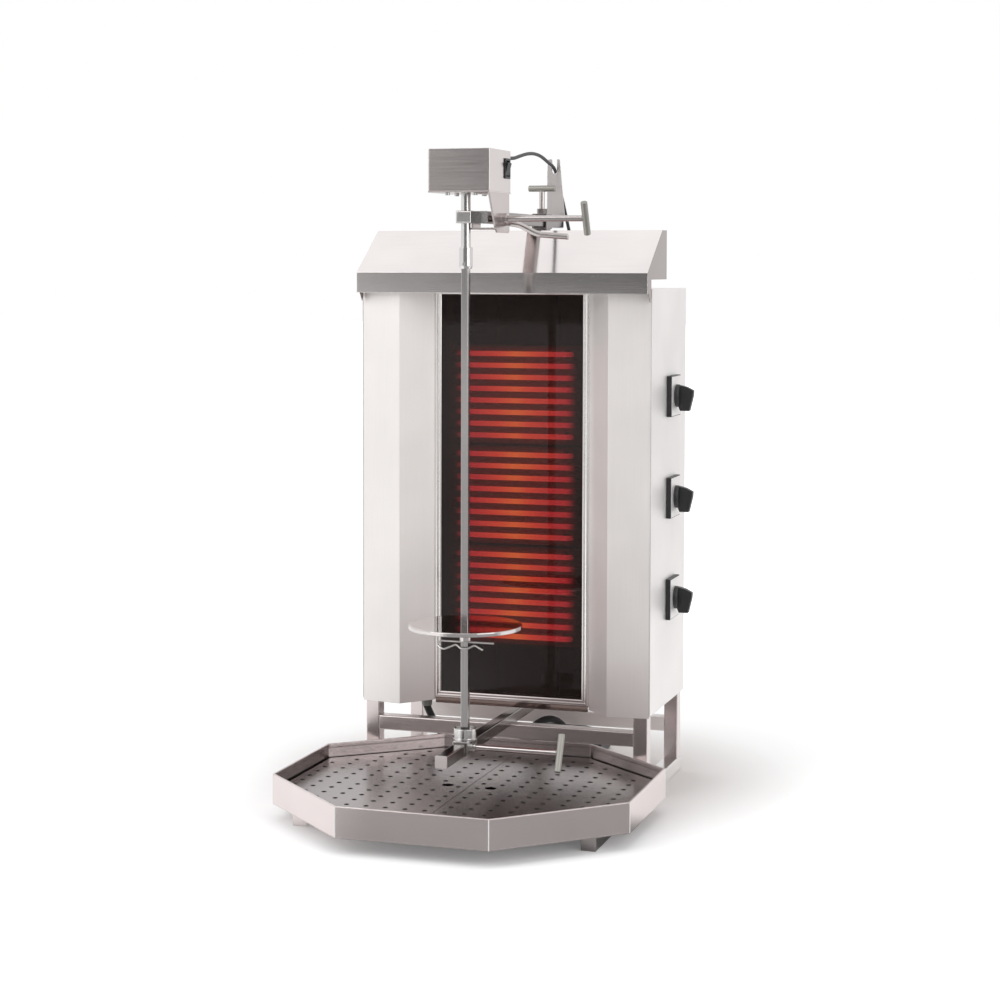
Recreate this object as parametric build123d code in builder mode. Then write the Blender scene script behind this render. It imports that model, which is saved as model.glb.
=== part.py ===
"""Electric doner kebab grill: cabinet on a tube stand, upper drive, spit and drip tray.

Millimetres. +X is the user's right, +Y runs back into the cabinet, +Z is up. The origin
lies on the floor in the symmetry plane, half-way along the depth of the stand and tray.
"""
import math
import os

from build123d import *

os.makedirs("parts", exist_ok=True)

# Stand
tube = 25.0
tube_wall = 1.5
tube_corner = 2.0
rail_x = 242.5
rail_front_y = -217.0
stand_rear_y = 365.0
front_post_y = 124.5
floor_z = 145.0
front_bar_z = 104.5
rear_bar_z = 85.5

# Cabinet
sheet = 1.5
cabinet_half = 260.0
cabinet_front_y = 109.0
cabinet_top_z = 870.0
side_bottom_z = 147.0
wing_bottom_z = 143.0
crease_x = 187.0
crease_y = 98.0
window_half = 141.0
window_y = 151.0
apron_z = 136.5
apron_height = 21.0
frame_strip = 12.0
frame_depth = 10.0
frame_top_z = 861.0
glass_thickness = 4.0
panel_rim = 12.0
joint_gap = 0.3

# Hood
hood_half = 259.0
hood_front_y = 79.0
hood_band_z = 862.0
hood_band_height = 35.0
hood_ridge_y = 184.0
hood_ridge_z = 970.0
hood_rear_y = 217.0
hood_gap = 16.0
hood_bracket_x = 180.0

# Heating elements
element_z = (330.0, 507.0, 683.5)
element_y = 180.0
element_diameter = 8.0
element_half_length = 108.5
bar_pitch = 20.5
bars_per_element = 8
end_bar_x = 93.0
board_width = 248.0
board_height = 172.0
board_depth = 20.0
pan_sheet = 1.0
element_tail = 18.0
mount_rail_x = 112.0

# Controls
control_y = 254.5
bezel_side = 71.0
bezel_depth = 9.0
knob_diameter = 45.0
knob_depth = 35.0
spindle_diameter = 6.0
regulator_depth = 36.0

# Upper drive
spit_y = -98.0
arm_side = 20.0
arm_wall = 2.0
arm_x = 25.0
arm_front_y = -89.0
arm_rear_y = 352.0
arm_z = 987.0
clamp_y = 250.0
clamp_length = 36.0
clamp_wall = 3.4
block_front_y = -118.0
block_rear_y = -80.0
block_left_x = -11.0
motor_half = 52.0
motor_front_y = -135.0
motor_rear_y = -22.0
motor_base_z = 1026.0
motor_top_z = 1096.0
motor_base_sheet = 2.0
bracket_sheet = 3.0
bracket_screw_y = -66.0
screw_diameter = 10.0
bar_diameter = 11.0
upper_bar_length = 57.0
clamp_bar_length = 49.0
lower_bar_length = 63.0
upper_bar_x = 192.0
lower_bar_x = 161.0
clamp_bar_z = 1045.0
fork_y = 339.0
fork_top_z = 1101.0
fork_notch_z = 1074.5
fork_sheet = 2.0
lead_diameter = 6.0

# Spit
shaft_diameter = 16.0
shaft_top_z = 1050.0
spit_side = 12.0
spit_top_z = 911.0
sleeve_diameter = 22.0
sleeve_bottom_z = 903.5
sleeve_top_z = 938.0
sleeve_lift = 9.0
disc_diameter = 186.0
disc_z = 317.5
disc_rim = 6.5
disc_sheet = 2.0
hub_diameter = 18.0
clip_diameter = 3.0
clip_z = 294.5
running_gap = 0.05

# Lower bearing
lower_arm_front_y = -217.0
lower_arm_z = 122.0
yoke_front_y = -125.0
yoke_rear_y = -73.0
yoke_wall = 2.7
cup_diameter = 37.0
cup_flange = 41.0
cup_height = 18.0
bearing_diameter = 32.0
bearing_height = 10.0
pin_diameter = 12.0

# Drip tray
tray_front_half = 125.0
tray_front_y = -358.0
tray_half = 302.0
tray_side_front_y = -190.0
tray_side_rear_y = 48.0
tray_rear_half = 135.0
tray_rear_y = 190.0
tray_top_z = 75.0
tray_sheet = 1.5
tray_hem = 7.0
insert_z = 50.5
insert_gap = 3.0
hole_pitch = 33.0
hole_radius = 3.5
hole_margin = 13.0
finger_hole_radius = 10.0
finger_hole_x = 37.0
finger_hole_y = -76.0

# Mains cord
cable_diameter = 13.0
gland_x = -178.0
gland_y = 215.0
coil_centre_x = 4.0
coil_centre_y = 475.0
coil_radius = 82.0
coil_step = 7.0
coil_half_turns = 3
plug_diameter = 56.0
plug_length = 112.0

# Places that follow from the sizes above
post_top_z = floor_z
inner_half = cabinet_half - sheet
rear_post_y = stand_rear_y - tube / 2
arm_half = arm_side / 2
arm_top_z = arm_z + arm_half
lower_arm_top_z = lower_arm_z + arm_half
bar_radius = bar_diameter / 2
glass_y = window_y - 1.0 + sheet + joint_gap
board_y = element_y + element_diameter / 2 + joint_gap
pan_y = board_y + board_depth + joint_gap
cup_z = lower_arm_top_z + joint_gap + yoke_wall
tray_floor_z = tube + joint_gap
cable_radius = cable_diameter / 2
lead_gland_length = 10.0
lead_exit = (42.0, motor_rear_y + lead_gland_length, 1086.0)
lead_entry = (62.0, 336.0, cabinet_top_z + lead_gland_length)
cable_gland_length = 27.0
cable_exit = (gland_x, gland_y, floor_z - cable_gland_length)


def keep(piece, label):
    """Name a finished piece and write it to a file of its own."""
    piece.part.label = label
    export_step(piece.part, f"parts/{label}.step")


def square_tube(start, direction, length, side=tube, wall=tube_wall):
    """A square tube from a start point along an axis direction."""
    x_dir = (0, 1, 0) if direction == (1, 0, 0) else (1, 0, 0)
    with BuildPart() as piece:
        with BuildSketch(Plane(origin=start, x_dir=x_dir, z_dir=direction)):
            RectangleRounded(side, side, tube_corner)
            Rectangle(side - 2 * wall, side - 2 * wall, mode=Mode.SUBTRACT)
        extrude(amount=length)
    return piece


def arc_radii(points, share=0.45):
    """The largest arc at each inner point that its two runs allow."""
    radii = []
    for before, here, after in zip(points, points[1:], points[2:]):
        run_in = Vector(*here) - Vector(*before)
        run_out = Vector(*after) - Vector(*here)
        turn = math.radians(run_in.get_angle(run_out))
        shorter = min(run_in.length, run_out.length)
        radii.append(share * shorter / math.tan(turn / 2))
    return radii


def cord_along(points, diameter, name):
    """A cord of eight-sided section along straight runs joined by tangent arcs."""
    radii = arc_radii(points)
    first = Vector(*points[1]) - Vector(*points[0])
    with BuildPart() as cord:
        with BuildLine() as route:
            FilletPolyline(*points, radius=radii)
        with BuildSketch(Plane(origin=points[0], z_dir=first)) as section:
            RegularPolygon(diameter / 2, 8)
        sweep()
    length = sum(run.length for run in route.edges())
    ratio = cord.part.volume / (section.sketch.area * length)
    print(f"{name}: {length:.0f} mm, smallest arc {min(radii):.0f} mm, volume ratio {ratio:.4f}")
    return cord


def least_gap(path, length, diameter):
    """The least gap between stretches of a cord that lie apart along its length."""
    step = 6.0
    count = int(length / step)
    places = [tuple(path.position_at(index / count)) for index in range(count + 1)]
    apart = int(5 * diameter / step)
    nearest = min(
        math.dist(place, other) for index, place in enumerate(places) for other in places[index + apart :]
    )
    return nearest - diameter


# Stand
rail_length = stand_rear_y - rail_front_y
with BuildPart() as floor_rails:
    for sign in (-1, 1):
        add(square_tube((sign * rail_x, rail_front_y, tube / 2), (0, 1, 0), rail_length).part)
keep(floor_rails, "floor_rails")

for end_name, post_y in (("front", front_post_y), ("rear", rear_post_y)):
    with BuildPart() as posts:
        for sign in (-1, 1):
            add(square_tube((sign * rail_x, post_y, tube), (0, 0, 1), post_top_z - tube).part)
    keep(posts, f"{end_name}_posts")

bar_length = 2 * rail_x - tube
notch_depth = front_bar_z + tube / 2 - (lower_arm_z - arm_half)
with BuildPart() as front_crossbar:
    add(square_tube((-bar_length / 2, front_post_y, front_bar_z), (1, 0, 0), bar_length).part)
    with BuildSketch(Plane.XY.offset(lower_arm_z - arm_half)):
        with Locations((0, front_post_y)):
            Rectangle(arm_side + 2 * joint_gap, tube)
    extrude(amount=notch_depth, mode=Mode.SUBTRACT)
keep(front_crossbar, "front_crossbar")
keep(
    square_tube((-bar_length / 2, rear_post_y, rear_bar_z), (1, 0, 0), bar_length),
    "rear_crossbar",
)

# Lower arm: lies in the front crossbar's notch, and its welded riser on the rear crossbar
lower_arm_length = stand_rear_y - lower_arm_front_y
riser_z = rear_bar_z + tube / 2
with BuildPart() as lower_arm:
    add(square_tube((0, lower_arm_front_y, lower_arm_z), (0, 1, 0), lower_arm_length, arm_side, arm_wall).part)
    with BuildSketch(Plane.XY.offset(riser_z)):
        with Locations((0, rear_post_y)):
            Rectangle(arm_side, tube)
    extrude(amount=lower_arm_z - arm_half - riser_z)
keep(lower_arm, "lower_arm")


def end_plug(centre_x, end_y, centre_z, outward):
    """A moulded plug in the end of an arm: a thin cap and a hollow spigot."""
    cap = 2.0
    spigot = 14.0
    bore = arm_side - 2 * arm_wall
    face = Plane(origin=(centre_x, end_y, centre_z), x_dir=(1, 0, 0), z_dir=(0, outward, 0))
    with BuildPart() as plug:
        with BuildSketch(face):
            RectangleRounded(arm_side, arm_side, tube_corner)
        extrude(amount=cap)
        with BuildSketch(face):
            Rectangle(bore - 2 * joint_gap, bore - 2 * joint_gap)
            Rectangle(bore - 4, bore - 4, mode=Mode.SUBTRACT)
        extrude(amount=-spigot)
    return plug.part


with BuildPart() as lower_arm_cap:
    add(end_plug(0, lower_arm_front_y, lower_arm_z, -1))
keep(lower_arm_cap, "lower_arm_cap")

# Cabinet
# Side panels: flat sheets with a rear flange, the right one drilled for the spindles
for side_name, sign in (("left", -1), ("right", 1)):
    flange = 14.0
    with BuildPart() as side_panel:
        with BuildSketch(Plane.XY.offset(side_bottom_z)):
            with BuildLine():
                Polyline(
                    (sign * cabinet_half, cabinet_front_y),
                    (sign * cabinet_half, stand_rear_y - sheet),
                    (sign * (inner_half - flange), stand_rear_y - sheet),
                    (sign * (inner_half - flange), stand_rear_y - 2 * sheet),
                    (sign * inner_half, stand_rear_y - 2 * sheet),
                    (sign * inner_half, cabinet_front_y),
                    close=True,
                )
            make_face()
        extrude(amount=cabinet_top_z - side_bottom_z)
        if sign > 0:
            with Locations(*[Plane(origin=(cabinet_half, control_y, z), z_dir=(1, 0, 0)) for z in element_z]):
                Hole(radius=spindle_diameter, depth=2 * sheet)
    keep(side_panel, f"{side_name}_side_panel")

cabinet_outline = [
    (inner_half - joint_gap, stand_rear_y - 2 * sheet - joint_gap),
    (inner_half - joint_gap, cabinet_front_y + sheet + 1),
    (crease_x, crease_y + sheet + 1),
    (window_half + sheet + 1, window_y + sheet),
    (window_half + sheet + 1, window_y + 15),
]
mirrored_outline = [(-x, y) for x, y in reversed(cabinet_outline)]


def flanged_panel(z, rim_direction):
    """A panel over the cabinet's plan, with a rim turned up or down round its edge."""
    with BuildPart() as panel:
        with BuildSketch(Plane.XY.offset(z)) as plan:
            with BuildLine():
                Polyline(*cabinet_outline, *mirrored_outline, close=True)
            make_face()
        extrude(amount=rim_direction * panel_rim)
        with BuildSketch(Plane.XY.offset(z + rim_direction * sheet)):
            add(offset(plan.sketch.moved(Location((0, 0, 0))), amount=-sheet, kind=Kind.INTERSECTION,
                       mode=Mode.PRIVATE))
        extrude(amount=rim_direction * panel_rim, mode=Mode.SUBTRACT)
    return panel


with BuildPart() as floor_panel:
    add(flanged_panel(floor_z, 1).part)
    with Locations((gland_x, gland_y, floor_z)):
        Cylinder(10.2, 4 * sheet, mode=Mode.SUBTRACT)
keep(floor_panel, "floor_panel")

slot_length = 60.0
with BuildPart() as top_panel:
    add(flanged_panel(cabinet_top_z, -1).part)
    with BuildSketch(Plane.XY.offset(cabinet_top_z)):
        with Locations((0, 305)):
            with GridLocations(90, 14, 4, 3):
                Rectangle(slot_length, 6)
    extrude(amount=-2 * sheet, mode=Mode.SUBTRACT)
    with Locations((lead_entry[0], lead_entry[1], cabinet_top_z)):
        Hole(radius=5.2, depth=2 * sheet)
keep(top_panel, "top_panel")

# Rear panel with two banks of vent slots
with BuildPart() as rear_panel:
    with BuildSketch(Plane(origin=(0, stand_rear_y - sheet, 0), x_dir=(1, 0, 0), z_dir=(0, -1, 0))):
        with Locations((0, (side_bottom_z + cabinet_top_z) / 2)):
            Rectangle(2 * (inner_half - joint_gap), cabinet_top_z - side_bottom_z - 2 * joint_gap)
        for bank_z in (250.0, 770.0):
            with Locations((0, bank_z)):
                with GridLocations(130, 18, 3, 4):
                    Rectangle(100, 6, mode=Mode.SUBTRACT)
    extrude(amount=-sheet)
keep(rear_panel, "rear_panel")

# Wings: one outer face, one face turned in towards the window, and a return flange
for side_name, sign in (("left", -1), ("right", 1)):
    with BuildPart() as wing:
        with BuildSketch(Plane.XY.offset(wing_bottom_z)):
            with BuildLine():
                outer = Polyline(
                    (sign * (inner_half - joint_gap), cabinet_front_y),
                    (sign * crease_x, crease_y),
                    (sign * window_half, window_y),
                    (sign * window_half, window_y + 13),
                )
                offset(outer, amount=sheet, side=Side.LEFT if sign < 0 else Side.RIGHT)
            make_face()
        extrude(amount=cabinet_top_z - 2 - wing_bottom_z)
    keep(wing, f"{side_name}_wing")

# Window frame: a pressed ring round the glass, deeper at the apron
frame_half = window_half - joint_gap
frame_height = frame_top_z - apron_z
frame_front = Plane(origin=(0, window_y - 1.0, apron_z), x_dir=(1, 0, 0), z_dir=(0, -1, 0))
with BuildPart() as window_frame:
    with BuildSketch(frame_front):
        Rectangle(2 * frame_half, frame_height, align=(Align.CENTER, Align.MIN))
    extrude(amount=-frame_depth)
    with BuildSketch(frame_front.offset(-sheet)):
        with Locations((0, sheet)):
            Rectangle(2 * (frame_half - sheet), frame_height - 2 * sheet, align=(Align.CENTER, Align.MIN))
    extrude(amount=-frame_depth, mode=Mode.SUBTRACT)
    with BuildSketch(frame_front):
        with Locations((0, apron_height)):
            Rectangle(
                2 * (frame_half - frame_strip),
                frame_height - apron_height - frame_strip,
                align=(Align.CENTER, Align.MIN),
            )
    extrude(amount=-2 * sheet, mode=Mode.SUBTRACT)
keep(window_frame, "window_frame")

glass_bottom_z = apron_z + sheet + joint_gap
with BuildPart() as ceramic_glass:
    with BuildSketch(Plane(origin=(0, glass_y, glass_bottom_z), x_dir=(1, 0, 0), z_dir=(0, -1, 0))):
        Rectangle(
            2 * (frame_half - sheet - joint_gap),
            frame_height - 2 * (sheet + joint_gap),
            align=(Align.CENTER, Align.MIN),
        )
    extrude(amount=-glass_thickness)
keep(ceramic_glass, "ceramic_glass")

# Heating elements: each is one sheathed rod bent to and fro, its two ends turned back
bend_radius = bar_pitch / 2 - 0.05
bar_end_x = element_half_length - element_diameter / 2
first_bar = -(bars_per_element - 1) / 2 * bar_pitch
tail_y = pan_y + pan_sheet + element_tail
elements = []
for centre_z in element_z:
    route = [(end_bar_x, tail_y, centre_z + first_bar), (end_bar_x, element_y, centre_z + first_bar)]
    side_x = -bar_end_x
    for bar in range(bars_per_element - 1):
        z = centre_z + first_bar + bar * bar_pitch
        route += [(side_x, element_y, z), (side_x, element_y, z + bar_pitch)]
        side_x = -side_x
    last_z = centre_z - first_bar
    route += [(end_bar_x, element_y, last_z), (end_bar_x, tail_y, last_z)]
    with BuildPart() as element:
        with BuildLine():
            FilletPolyline(*route, radius=bend_radius)
        with BuildSketch(Plane(origin=route[0], z_dir=(0, -1, 0))):
            RegularPolygon(element_diameter / 2, 6)
        sweep()
    elements.append(element.part)
with BuildPart() as heating_elements:
    add(elements)
keep(heating_elements, "heating_elements")

with BuildPart() as insulation_boards:
    for centre_z in element_z:
        with BuildSketch(Plane(origin=(0, board_y, centre_z), x_dir=(1, 0, 0), z_dir=(0, -1, 0))):
            Rectangle(board_width, board_height)
            with Locations((end_bar_x - 2.5, first_bar), (end_bar_x - 2.5, -first_bar)):
                Circle(element_diameter, mode=Mode.SUBTRACT)
        extrude(amount=-board_depth)
keep(insulation_boards, "insulation_boards")

# Pans round the boards, and two channel rails that carry them from the floor to the top panel
pan_rim_depth = 14.0
rail_width = 24.0
rail_depth = 18.0
with BuildPart() as heater_mounts:
    for centre_z in element_z:
        back = Plane(origin=(0, pan_y, centre_z), x_dir=(1, 0, 0), z_dir=(0, -1, 0))
        with BuildSketch(back):
            Rectangle(board_width + 4, board_height + 4)
            with Locations((end_bar_x, first_bar), (end_bar_x, -first_bar)):
                Circle(element_diameter / 2 + 1, mode=Mode.SUBTRACT)
        extrude(amount=-pan_sheet)
        with BuildSketch(back):
            Rectangle(board_width + 4, board_height + 4)
            Rectangle(board_width + 2, board_height + 2, mode=Mode.SUBTRACT)
        extrude(amount=pan_rim_depth)
    with BuildSketch(Plane.XY.offset(floor_z + sheet)):
        for sign in (-1, 1):
            with Locations((sign * mount_rail_x * 0.5, pan_y + pan_sheet)):
                Rectangle(rail_width, rail_depth, align=(Align.CENTER, Align.MIN))
            with Locations((sign * mount_rail_x * 0.5, pan_y + pan_sheet + sheet)):
                Rectangle(
                    rail_width - 2 * sheet, rail_depth, align=(Align.CENTER, Align.MIN), mode=Mode.SUBTRACT
                )
    extrude(amount=cabinet_top_z - floor_z - 2 * sheet)
keep(heater_mounts, "heater_mounts")

# Energy regulators behind the right side panel, each with a bore for its knob's spindle
with BuildPart() as energy_regulators:
    for centre_z in element_z:
        face = Plane(origin=(inner_half - joint_gap, control_y, centre_z), x_dir=(0, 1, 0), z_dir=(1, 0, 0))
        with BuildSketch(face):
            RectangleRounded(44, 48, 3)
            Circle(spindle_diameter / 2 + running_gap, mode=Mode.SUBTRACT)
        extrude(amount=-regulator_depth)
keep(energy_regulators, "energy_regulators")

bezel_face = cabinet_half + bezel_depth
with BuildPart() as knob_bezels:
    for centre_z in element_z:
        with BuildSketch(Plane(origin=(cabinet_half, control_y, centre_z), x_dir=(0, 1, 0), z_dir=(1, 0, 0))):
            RectangleRounded(bezel_side, bezel_side, 5)
            Circle(spindle_diameter / 2 + 2, mode=Mode.SUBTRACT)
        extrude(amount=bezel_depth)
    chamfer(knob_bezels.faces().filter_by(Axis.X).group_by(Axis.X)[-1].edges().filter_by(GeomType.LINE), 1.5)
keep(knob_bezels, "knob_bezels")

# Knobs: a round skirt, a tapered grip across it and the spindle behind
skirt_depth = 9.0
grip_width = 15.0
for knob_name, centre_z in zip(("lower", "middle", "upper"), element_z):
    base = Plane(origin=(bezel_face + joint_gap, control_y, centre_z), x_dir=(0, 1, 0), z_dir=(1, 0, 0))
    with BuildPart() as knob:
        with BuildSketch(base):
            Circle(knob_diameter / 2)
        extrude(amount=skirt_depth, taper=4)
        with BuildSketch(base.offset(skirt_depth)):
            RectangleRounded(grip_width, knob_diameter - 4, 5)
        extrude(amount=knob_depth - skirt_depth, taper=6)
        with BuildSketch(base):
            Circle(spindle_diameter / 2)
        extrude(amount=-(bezel_depth + sheet + 24))
    keep(knob, f"{knob_name}_knob")

# Terminal block on the cabinet floor beside the cable gland
with BuildPart() as terminal_block:
    with BuildSketch(Plane.XY.offset(floor_z + sheet)):
        with Locations((gland_x, gland_y + 70)):
            Rectangle(70, 28)
    extrude(amount=20)
    with BuildSketch(Plane.XY.offset(floor_z + sheet + 20)):
        with Locations((gland_x, gland_y + 70)):
            with GridLocations(13, 14, 5, 2):
                Circle(3.2)
    extrude(amount=-8, mode=Mode.SUBTRACT)
keep(terminal_block, "terminal_block")

# Hood: a folded skin with two end plates; a tab of each plate runs down the cabinet's corner
hood_sheet = sheet
band_top_z = hood_band_z + hood_band_height
with BuildPart() as hood:
    with BuildSketch(Plane.YZ.offset(-hood_half)):
        with BuildLine():
            skin = Polyline(
                (hood_front_y + 11, hood_band_z),
                (hood_front_y, hood_band_z),
                (hood_front_y, band_top_z),
                (hood_ridge_y, hood_ridge_z),
                (hood_rear_y, hood_ridge_z),
                (hood_rear_y, hood_ridge_z - 14),
            )
            offset(skin, amount=hood_sheet, side=Side.RIGHT)
        make_face()
    extrude(amount=2 * hood_half)
    for sign in (-1, 1):
        with BuildSketch(Plane.YZ.offset(sign * hood_half)):
            with BuildLine():
                Polyline(
                    (hood_front_y, hood_band_z),
                    (hood_front_y, band_top_z),
                    (hood_ridge_y, hood_ridge_z),
                    (hood_rear_y, hood_ridge_z),
                    (hood_rear_y, cabinet_top_z + hood_gap),
                    (cabinet_front_y - 2, cabinet_top_z + hood_gap),
                    (cabinet_front_y - 2, 856),
                    (cabinet_front_y - 8, 847),
                    (hood_front_y + 10, hood_band_z),
                    close=True,
                )
            make_face()
        extrude(amount=-sign * hood_sheet)
keep(hood, "hood")

slope_fall = (hood_ridge_z - band_top_z) / (hood_ridge_y - hood_front_y)
bracket_front_y = 122.0
with BuildPart() as hood_brackets:
    for sign in (-1, 1):
        with BuildSketch(Plane.YZ.offset(sign * hood_bracket_x)):
            with BuildLine():
                Polyline(
                    (bracket_front_y, cabinet_top_z),
                    (hood_rear_y - 4, cabinet_top_z),
                    (hood_rear_y - 4, hood_ridge_z - hood_sheet - joint_gap),
                    (hood_ridge_y + 1, hood_ridge_z - hood_sheet - joint_gap),
                    (
                        bracket_front_y,
                        band_top_z + (bracket_front_y - hood_front_y) * slope_fall - 1.4 * hood_sheet,
                    ),
                    close=True,
                )
            make_face()
        extrude(amount=-sign * 2)
keep(hood_brackets, "hood_brackets")

# Upper drive
# Rear upright with the sleeve and nut that clamp the arm
clamp_outer = arm_side + 2 * clamp_wall
nut_height = 9.0
clamp_top_z = arm_z + clamp_outer / 2
with BuildPart() as arm_clamp:
    add(square_tube((arm_x, clamp_y, cabinet_top_z), (0, 0, 1), arm_z - clamp_outer / 2 - cabinet_top_z).part)
    with BuildSketch(Plane(origin=(arm_x, clamp_y - clamp_length / 2, arm_z), x_dir=(1, 0, 0), z_dir=(0, 1, 0))):
        RectangleRounded(clamp_outer, clamp_outer, tube_corner)
        Rectangle(arm_side + 2 * joint_gap, arm_side + 2 * joint_gap, mode=Mode.SUBTRACT)
    extrude(amount=clamp_length)
    with BuildSketch(Plane.XY.offset(clamp_top_z)):
        with Locations((arm_x, clamp_y)):
            RegularPolygon(9.5, 6)
    extrude(amount=nut_height)
    with Locations((arm_x, clamp_y, clamp_top_z + nut_height)):
        Hole(radius=screw_diameter / 2 + running_gap, depth=nut_height + clamp_wall + 1)
keep(arm_clamp, "arm_clamp")


def t_screw(tip, axis, bar_at, bar_direction, bar_length):
    """A locking screw: a round rod from its tip along an axis, and a bar through its head."""
    tip_point = Vector(*tip)
    rod_length = bar_at - bar_radius + 2
    with BuildPart() as screw:
        with BuildSketch(Plane(origin=tip, z_dir=axis)):
            Circle(screw_diameter / 2)
        extrude(amount=rod_length)
        head = tip_point + Vector(*axis) * bar_at
        start = head - Vector(*bar_direction).normalized() * (bar_length / 2)
        with BuildSketch(Plane(origin=start, z_dir=bar_direction)):
            Circle(bar_radius)
        extrude(amount=bar_length)
        fillet(screw.faces().filter_by(GeomType.PLANE).sort_by(lambda f: f.area)[-2:].edges(), 1.5)
    return screw


clamp_tip_z = arm_top_z + joint_gap
keep(
    t_screw((arm_x, clamp_y, clamp_tip_z), (0, 0, 1), clamp_bar_z - clamp_tip_z, (1, 0, 0), clamp_bar_length),
    "clamp_screw",
)

keep(
    square_tube((arm_x, arm_front_y, arm_z), (0, 1, 0), arm_rear_y - arm_front_y, arm_side, arm_wall),
    "upper_arm",
)
with BuildPart() as upper_arm_caps:
    add(end_plug(arm_x, arm_front_y, arm_z, -1))
    add(end_plug(arm_x, arm_rear_y, arm_z, 1))
keep(upper_arm_caps, "upper_arm_caps")

# Bearing block welded to the arm's front end, bored for the output shaft
block_right_x = arm_x - arm_half
with BuildPart() as bearing_block:
    with BuildSketch(Plane.XY.offset(arm_z - arm_half)):
        with Locations(((block_left_x + block_right_x) / 2, (block_front_y + block_rear_y) / 2)):
            Rectangle(block_right_x - block_left_x, block_rear_y - block_front_y)
    extrude(amount=arm_side)
    fillet(bearing_block.faces().sort_by(Axis.Y)[0].edges(), 2.5)
    with Locations((0, spit_y, arm_top_z)):
        Hole(radius=shaft_diameter / 2 + running_gap, depth=arm_side)
keep(bearing_block, "bearing_block")

# Fork plate at the arm's rear end: the motor's lead lies in its notch
fork_notch_x = 22.0
fork_notch_radius = 4.5
with BuildPart() as fork_plate:
    with BuildSketch(Plane(origin=(0, fork_y - fork_sheet / 2, 0), x_dir=(1, 0, 0), z_dir=(0, -1, 0))) as fork:
        with BuildLine():
            Polyline(
                (8, arm_top_z),
                (8.4, fork_notch_z + 4),
                (9.5, fork_top_z),
                (31.5, fork_top_z),
                (33.6, fork_notch_z + 4),
                (41, arm_top_z + 4),
                (41, arm_top_z),
                close=True,
            )
        make_face()
        with Locations((fork_notch_x, fork_notch_z + fork_notch_radius)):
            Circle(fork_notch_radius, mode=Mode.SUBTRACT)
        with Locations((fork_notch_x, fork_notch_z + fork_notch_radius)):
            Rectangle(2 * fork_notch_radius, 40, align=(Align.CENTER, Align.MIN), mode=Mode.SUBTRACT)
        fillet(fork.vertices().group_by(Axis.Y)[-1], 2.5)
    extrude(amount=-fork_sheet)
keep(fork_plate, "fork_plate")

# Motor box: cover, base plate, gear motor and the screws under it
motor_depth = motor_rear_y - motor_front_y
motor_mid_y = (motor_front_y + motor_rear_y) / 2
cover_z = motor_base_z + motor_base_sheet
switch_y = -43.0
switch_z = 1067.0
switch_width = 27.0
switch_height = 33.0
rocker_radius = 12.6
lead_hole = 5.2
with BuildPart() as motor_cover:
    with BuildSketch(Plane.XY.offset(cover_z)):
        with Locations((0, motor_mid_y)):
            Rectangle(2 * motor_half, motor_depth)
    extrude(amount=motor_top_z - cover_z)
    fillet(motor_cover.edges().filter_by(Axis.Z), 2)
    with BuildSketch(Plane.XY.offset(cover_z)):
        with Locations((0, motor_mid_y)):
            Rectangle(2 * (motor_half - sheet), motor_depth - 2 * sheet)
    extrude(amount=motor_top_z - cover_z - sheet, mode=Mode.SUBTRACT)
    with BuildSketch(Plane(origin=(motor_half, switch_y, switch_z), x_dir=(0, 1, 0), z_dir=(1, 0, 0))):
        Rectangle(switch_width - 4, switch_height - 4)
    extrude(amount=-2 * sheet, mode=Mode.SUBTRACT)
    with Locations(Plane(origin=(lead_exit[0], motor_rear_y, lead_exit[2]), z_dir=(0, 1, 0))):
        Hole(radius=lead_hole, depth=2 * sheet)
keep(motor_cover, "motor_cover")

screw_offset = 23.5
with BuildPart() as motor_base:
    with BuildSketch(Plane.XY.offset(motor_base_z)):
        with Locations((0, motor_mid_y)):
            Rectangle(2 * motor_half, motor_depth)
        with Locations((0, spit_y)):
            Circle(shaft_diameter / 2 + 2, mode=Mode.SUBTRACT)
            with GridLocations(2 * screw_offset, 2 * screw_offset, 2, 2):
                Circle(2.2, mode=Mode.SUBTRACT)
    extrude(amount=motor_base_sheet)
keep(motor_base, "motor_base")

gearbox_height = 26.0
gearbox_z = cover_z
with BuildPart() as gear_motor:
    with BuildSketch(Plane.XY.offset(gearbox_z)):
        with Locations((0, spit_y)):
            RectangleRounded(62, 62, 4)
    extrude(amount=gearbox_height)
    with BuildSketch(Plane(origin=(0, spit_y + 31, gearbox_z + 32), x_dir=(1, 0, 0), z_dir=(0, 1, 0))):
        Circle(24)
    extrude(amount=34)
    with BuildSketch(Plane.XY.offset(gearbox_z + gearbox_height)):
        with Locations((0, spit_y + 8)):
            Rectangle(40, 46)
    extrude(amount=28)
    with Locations((0, spit_y, gearbox_z)):
        CounterBoreHole(
            radius=shaft_diameter / 2 + running_gap,
            counter_bore_radius=shaft_diameter / 2 + 1,
            counter_bore_depth=1,
            depth=shaft_top_z - gearbox_z + 1,
        )
    with Locations((0, spit_y, gearbox_z)):
        Cylinder(
            shaft_diameter / 2 + running_gap,
            shaft_top_z - gearbox_z + 1,
            align=(Align.CENTER, Align.CENTER, Align.MIN),
            mode=Mode.SUBTRACT,
        )
        with GridLocations(2 * screw_offset, 2 * screw_offset, 2, 2):
            Cylinder(2.2, 9, align=(Align.CENTER, Align.CENTER, Align.MIN), mode=Mode.SUBTRACT)
keep(gear_motor, "gear_motor")

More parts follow.
